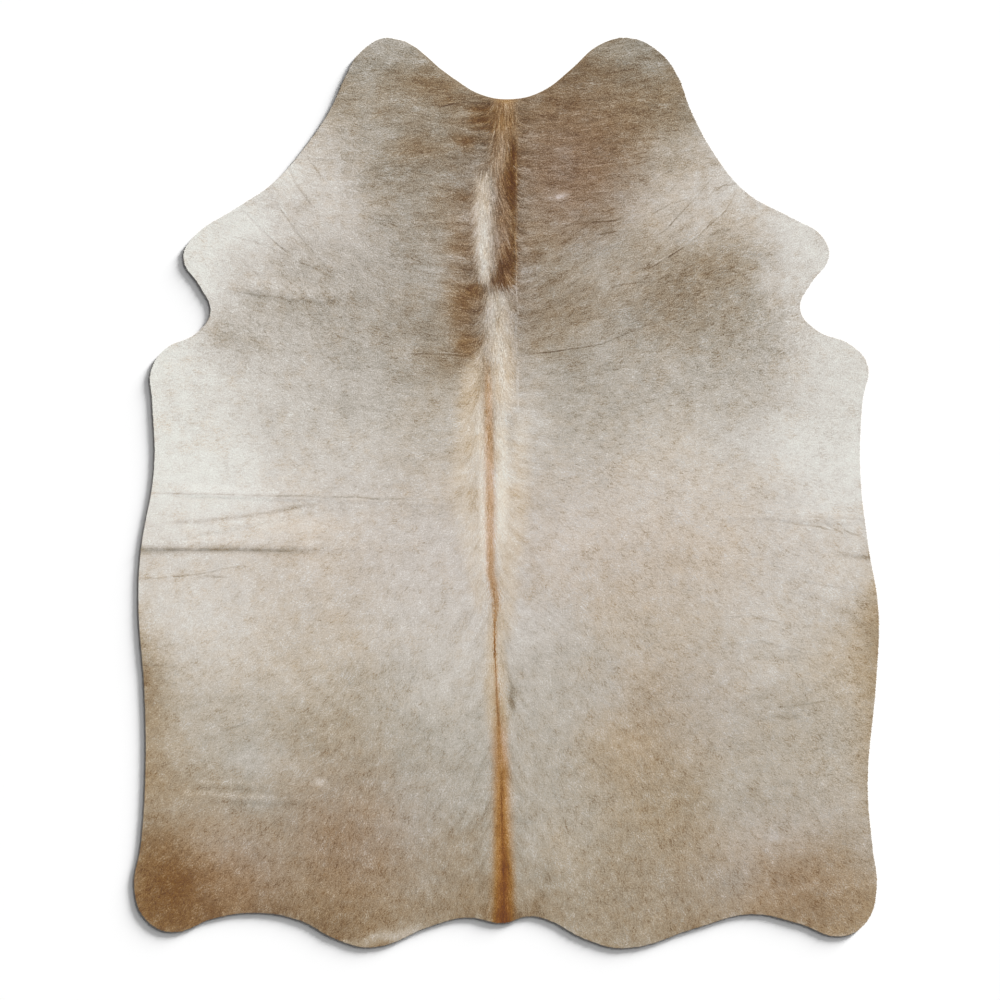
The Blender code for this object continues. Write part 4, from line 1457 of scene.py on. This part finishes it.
def colour_mix(tree, factor, a, b, blend="MIX"):
    """Add a mix of two colours, each a socket or a colour, and return its output."""
    node = tree.nodes.new("ShaderNodeMix")
    node.data_type = "RGBA"
    node.blend_type = blend
    for socket, value in ((node.inputs["Factor"], factor), (node.inputs["A"], a), (node.inputs["B"], b)):
        if isinstance(value, bpy.types.NodeSocket):
            tree.links.new(value, socket)
        else:
            socket.default_value = value
    return node.outputs["Result"]


def tone_ramp(tree, factor, colours):
    """Add a ramp of evenly placed colours and return its output."""
    node = tree.nodes.new("ShaderNodeValToRGB")
    ramp = node.color_ramp
    while len(ramp.elements) < len(colours):
        ramp.elements.new(0.5)
    for i, (element, colour) in enumerate(zip(ramp.elements, colours)):
        element.position = i / (len(colours) - 1)
        element.color = (*colour, 1.0)
    tree.links.new(factor, node.inputs["Fac"])
    return node.outputs["Color"]


def hair_tone_group():
    """Return the group that colours hair from its tone, rosiness, streak and luck, with the creases'
    painted shade and highlights.

    Fine grain is laid over it, stronger towards the neck.
    """
    name = "Hair tone"
    if name in bpy.data.node_groups:
        return bpy.data.node_groups[name]
    tones = bpy.context.scene.hide_tones
    tree, entry, result = new_group(
        name,
        (("Tone", "NodeSocketVector", None), ("Strand", "NodeSocketVector", None),
         ("Undercoat", "NodeSocketFloat", 0.0), ("Streak", "NodeSocketFloat", 0.26),
         ("Mottle", "NodeSocketFloat", 0.10), ("Luck", "NodeSocketFloat", 0.07),
         ("Crease", "NodeSocketFloat", 0.50), ("Grain", "NodeSocketFloat", 0.62),
         ("Neck grain", "NodeSocketFloat", 0.40), ("Mottle warmth", "NodeSocketFloat", -0.10)),
        (("Colour", "NodeSocketColor", None), ("Height", "NodeSocketFloat", None)))
    given = entry.outputs
    # The tone's third number is the creases' painted shade.
    depth, warmth, shade = parts_of(tree, given["Tone"])
    rosy, streak, luck = parts_of(tree, given["Strand"])
    place = tree.nodes.new("ShaderNodeTexCoord").outputs["Object"]
    _x, along, _z = parts_of(tree, place)

    def add(a, b, clamp=False):
        return math_node(tree, "ADD", a, b, clamp)

    def times(a, b, clamp=False):
        return math_node(tree, "MULTIPLY", a, b, clamp)

    def about_nought(value):
        return math_node(tree, "SUBTRACT", value, 0.5)

    contrast = times(given["Streak"], add(STREAK_FLOOR, depth))
    depth = add(depth, times(about_nought(streak), contrast))
    depth = add(depth, times(about_nought(luck), given["Luck"]))
    broad = about_nought(noise_node(tree, place, *MOTTLE_NOISE))
    depth = add(depth, times(broad, given["Mottle"]))
    hairs = noise_node(tree, place, *HAIR_NOISE)
    grain = add(given["Grain"], times(times(along, NECK_SLOPE, clamp=True), given["Neck grain"]))
    depth = add(depth, times(about_nought(hairs), grain))
    depth = add(depth, given["Undercoat"])
    # The creases' painted shade darkens the hair, and their painted highlights lighten it.
    depth = add(depth, times(shade, given["Crease"]), clamp=True)
    warmth = add(warmth, times(broad, given["Mottle warmth"]))

    cool = tone_ramp(tree, depth, [getattr(tones, f"cool_{i}") for i in range(TONE_STEPS)])
    warm = tone_ramp(tree, depth, [getattr(tones, f"warm_{i}") for i in range(TONE_STEPS)])
    mixed = colour_mix(tree, warmth, cool, warm)
    redness = times(math_node(tree, "SUBTRACT", warmth, 1.0), 1.0 / (MOST_WARMTH - 1.0), clamp=True)
    red = colour_mix(tree, redness, mixed, (*tones.reddest, 1.0), "MULTIPLY")
    pink = colour_mix(tree, rosy, red, (*tones.rosy, 1.0), "MULTIPLY")
    tree.links.new(pink, result.inputs["Colour"])
    tree.links.new(hairs, result.inputs["Height"])
    return tree


def new_material(name, roughness, sheen=0.0):
    """Make a plain material and return it with its node tree and shader."""
    material = bpy.data.materials.new(name)
    material.use_nodes = True
    shader = material.node_tree.nodes["Principled BSDF"]
    shader.inputs["Roughness"].default_value = roughness
    shader.inputs["Sheen Weight"].default_value = sheen
    shader.inputs["Specular IOR Level"].default_value = 0.35
    return material, material.node_tree, shader


def attribute_output(tree, name):
    """Read three numbers a point that the mesh keeps under a name."""
    node = tree.nodes.new("ShaderNodeAttribute")
    node.attribute_name = name
    return node.outputs["Vector"]


def add_relief(tree, shader, height, strength, distance):
    """Raise a material's surface by a height."""
    relief = tree.nodes.new("ShaderNodeBump")
    relief.inputs["Strength"].default_value = strength
    relief.inputs["Distance"].default_value = distance
    tree.links.new(height, relief.inputs["Height"])
    tree.links.new(relief.outputs["Normal"], shader.inputs["Normal"])


def place_hair_tone(tree, shader, tone_shift, bump):
    """Colour a material's hair with the shared group and give it fine relief."""
    node = tree.nodes.new("ShaderNodeGroup")
    node.node_tree = hair_tone_group()
    node.inputs["Undercoat"].default_value = tone_shift
    tree.links.new(attribute_output(tree, "tone"), node.inputs["Tone"])
    tree.links.new(attribute_output(tree, "strand"), node.inputs["Strand"])
    tree.links.new(node.outputs["Colour"], shader.inputs["Base Color"])
    add_relief(tree, shader, node.outputs["Height"], bump, HAIR_RELIEF)


def coat_material():
    """Make the material of the locks."""
    tones = bpy.context.scene.hide_tones
    material, tree, shader = new_material("laid hair", tones.roughness, tones.sheen)
    place_hair_tone(tree, shader, *ON_THE_COAT)
    return material


def coat_skin_material():
    """Make the material of the skin's coat side, coloured as the hair over it but a little paler: painted
    light against the shade between the locks.
    """
    material, tree, shader = new_material("skin under the hair", roughness=0.85)
    place_hair_tone(tree, shader, *ON_THE_SKIN)
    return material


def suede_group():
    """Return the group for suede: blotched colour and a short raised nap."""
    name = "Suede nap"
    if name in bpy.data.node_groups:
        return bpy.data.node_groups[name]
    group, entry, result = new_group(
        name,
        (("Base", "NodeSocketColor", (0.6, 0.5, 0.4, 1.0)), ("Blotch", "NodeSocketFloat", 0.35)),
        (("Colour", "NodeSocketColor", None), ("Roughness", "NodeSocketFloat", None),
         ("Height", "NodeSocketFloat", None)))
    place = group.nodes.new("ShaderNodeTexCoord").outputs["Object"]
    blotches = noise_node(group, place, *BLOTCH_NOISE)
    nap = noise_node(group, place, *NAP_NOISE)
    amount = math_node(group, "MULTIPLY", blotches, entry.outputs["Blotch"])
    darker = colour_mix(group, 1.0, entry.outputs["Base"], BLOTCH_TINT, "MULTIPLY")
    colour = colour_mix(group, amount, entry.outputs["Base"], darker)
    group.links.new(colour, result.inputs["Colour"])
    least, more = NAP_ROUGHNESS
    roughness = math_node(group, "ADD", least, math_node(group, "MULTIPLY", nap, more))
    group.links.new(roughness, result.inputs["Roughness"])
    group.links.new(nap, result.inputs["Height"])
    return group


def suede_material(name, colour):
    """Make a suede of one colour."""
    material, tree, shader = new_material(name, roughness=0.9)
    node = tree.nodes.new("ShaderNodeGroup")
    node.node_tree = suede_group()
    node.inputs["Base"].default_value = (*colour, 1.0)
    tree.links.new(node.outputs["Colour"], shader.inputs["Base Color"])
    tree.links.new(node.outputs["Roughness"], shader.inputs["Roughness"])
    add_relief(tree, shader, node.outputs["Height"], NAP_STRENGTH, NAP_RELIEF)
    return material


# ---------------------------------------------------------------- stage

# Where the lights' objects are put. A sun's place doesn't change its light.
SUN_DISTANCE = 4.0
STRAIGHT_UP = np.radians(90.0)


def build_floor(stage):
    """Make the square floor under the hide."""
    half = stage.floor_size / 2.0
    mesh = bpy.data.meshes.new("floor")
    corners = [(-half, -half, 0.0), (half, -half, 0.0), (half, half, 0.0), (-half, half, 0.0)]
    mesh.from_pydata(corners, [], [(0, 1, 2, 3)])
    material, _tree, shader = new_material("plain floor", roughness=0.9)
    shader.inputs["Base Color"].default_value = (*stage.floor, 1.0)
    mesh.materials.append(material)
    return link_piece("floor", mesh)


def build_sun(name, strength, softness, height, turn):
    """Make a soft distant light at a height over the floor, turned from the right."""
    lamp = bpy.data.lights.new(name, "SUN")
    lamp.energy = strength
    lamp.angle = softness
    sun = bpy.data.objects.new(name, lamp)
    bpy.context.scene.collection.objects.link(sun)
    towards = Vector((np.cos(height) * np.cos(turn), np.cos(height) * np.sin(turn), np.sin(height)))
    sun.location = towards * SUN_DISTANCE
    sun.rotation_euler = towards.to_track_quat("Z", "Y").to_euler()
    return sun


def aim_at_floor(sun, floor, floor_only):
    """Let a light reach the floor alone, or everything but the floor."""
    lit = bpy.data.collections.new(sun.name + " floor")
    lit.objects.link(floor)
    sun.light_linking.receiver_collection = lit
    if not floor_only:
        lit.collection_objects[0].light_linking.link_state = "EXCLUDE"


def build_lights(stage, floor):
    """Make a key and a broad overhead light for the hide, two low ones for the floor, and a fill."""
    suns = (
        ("key", False, stage.key_height),
        ("overhead", False, STRAIGHT_UP),
        ("rake", True, stage.rake_height),
        ("floor_key", True, stage.floor_key_height),
    )
    for name, floor_only, height in suns:
        softness = getattr(stage, name + "_softness")
        sun = build_sun(name, getattr(stage, name), softness, height, stage.light_turn)
        aim_at_floor(sun, floor, floor_only)
    world = bpy.data.worlds.new("even fill")
    world.use_nodes = True
    background = world.node_tree.nodes["Background"]
    background.inputs["Color"].default_value = (1.0, 1.0, 1.0, 1.0)
    background.inputs["Strength"].default_value = stage.fill
    bpy.context.scene.world = world


def build_camera(stage):
    """Make the camera, straight above the hide."""
    data = bpy.data.cameras.new("camera")
    data.lens = stage.lens
    camera = bpy.data.objects.new("camera", data)
    bpy.context.scene.collection.objects.link(camera)
    distance = stage.view_width * stage.lens / data.sensor_width
    camera.location = (stage.view_x, stage.view_y, distance)
    bpy.context.scene.camera = camera


# ---------------------------------------------------------------- add-on


class HIDE_OT_lay_skin(bpy.types.Operator):
    """Lay the leather over the hide's solid"""

    bl_idname = "hide.lay_skin"
    bl_label = "Lay the skin"

    def execute(self, context):
        skin = build_skin(context.scene.hide_skin)
        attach(skin, "root")
        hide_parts("hide")
        return {"FINISHED"}


class HIDE_OT_grow_coat(bpy.types.Operator):
    """Grow the coat of hair on the skin"""

    bl_idname = "hide.grow_coat"
    bl_label = "Grow the coat"

    def execute(self, context):
        strips = build_coat(context.scene.hide_coat)
        for strip in strips:
            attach(strip, "root")
        return {"FINISHED"}


class HIDE_OT_set_stage(bpy.types.Operator):
    """Set the floor, the light and the camera"""

    bl_idname = "hide.set_stage"
    bl_label = "Set the stage"

    def execute(self, context):
        stage = context.scene.hide_stage
        floor = build_floor(stage)
        build_lights(stage, floor)
        build_camera(stage)
        context.scene.view_settings.view_transform = "Standard"
        return {"FINISHED"}


# The panel's boxes: the settings shown, and the button under them.
BOXES = (
    ("hide_skin", "hide.lay_skin"),
    ("hide_coat", "hide.grow_coat"),
    ("hide_tones", None),
    ("hide_stage", "hide.set_stage"),
)


class HIDE_PT_panel(bpy.types.Panel):
    """Sizes and colours of the hide"""

    bl_label = "Hair-on hide"
    bl_space_type = "VIEW_3D"
    bl_region_type = "UI"
    bl_category = "Hide"

    def draw(self, context):
        for owner_name, operator in BOXES:
            box = self.layout.box()
            owner = getattr(context.scene, owner_name)
            for key in owner.__annotations__:
                box.prop(owner, key)
            if operator:
                box.operator(operator)


SETTINGS = (("hide_skin", HideSkinSettings), ("hide_coat", HideCoatSettings),
            ("hide_tones", HideToneSettings), ("hide_stage", HideStageSettings))
CLASSES = (HIDE_OT_lay_skin, HIDE_OT_grow_coat, HIDE_OT_set_stage, HIDE_PT_panel)


def register():
    """Add the settings, the operators and the panel to Blender."""
    for name, settings in SETTINGS:
        bpy.utils.register_class(settings)
        setattr(bpy.types.Scene, name, bpy.props.PointerProperty(type=settings))
    for cls in CLASSES:
        bpy.utils.register_class(cls)


def unregister():
    """Take the settings, the operators and the panel out again."""
    for cls in reversed(CLASSES):
        bpy.utils.unregister_class(cls)
    for name, settings in reversed(SETTINGS):
        delattr(bpy.types.Scene, name)
        bpy.utils.unregister_class(settings)


def main():
    """Build the hide and its stage."""
    register()
    bpy.ops.hide.lay_skin()
    bpy.ops.hide.grow_coat()
    bpy.ops.hide.set_stage()


if __name__ == "__main__":
    main()
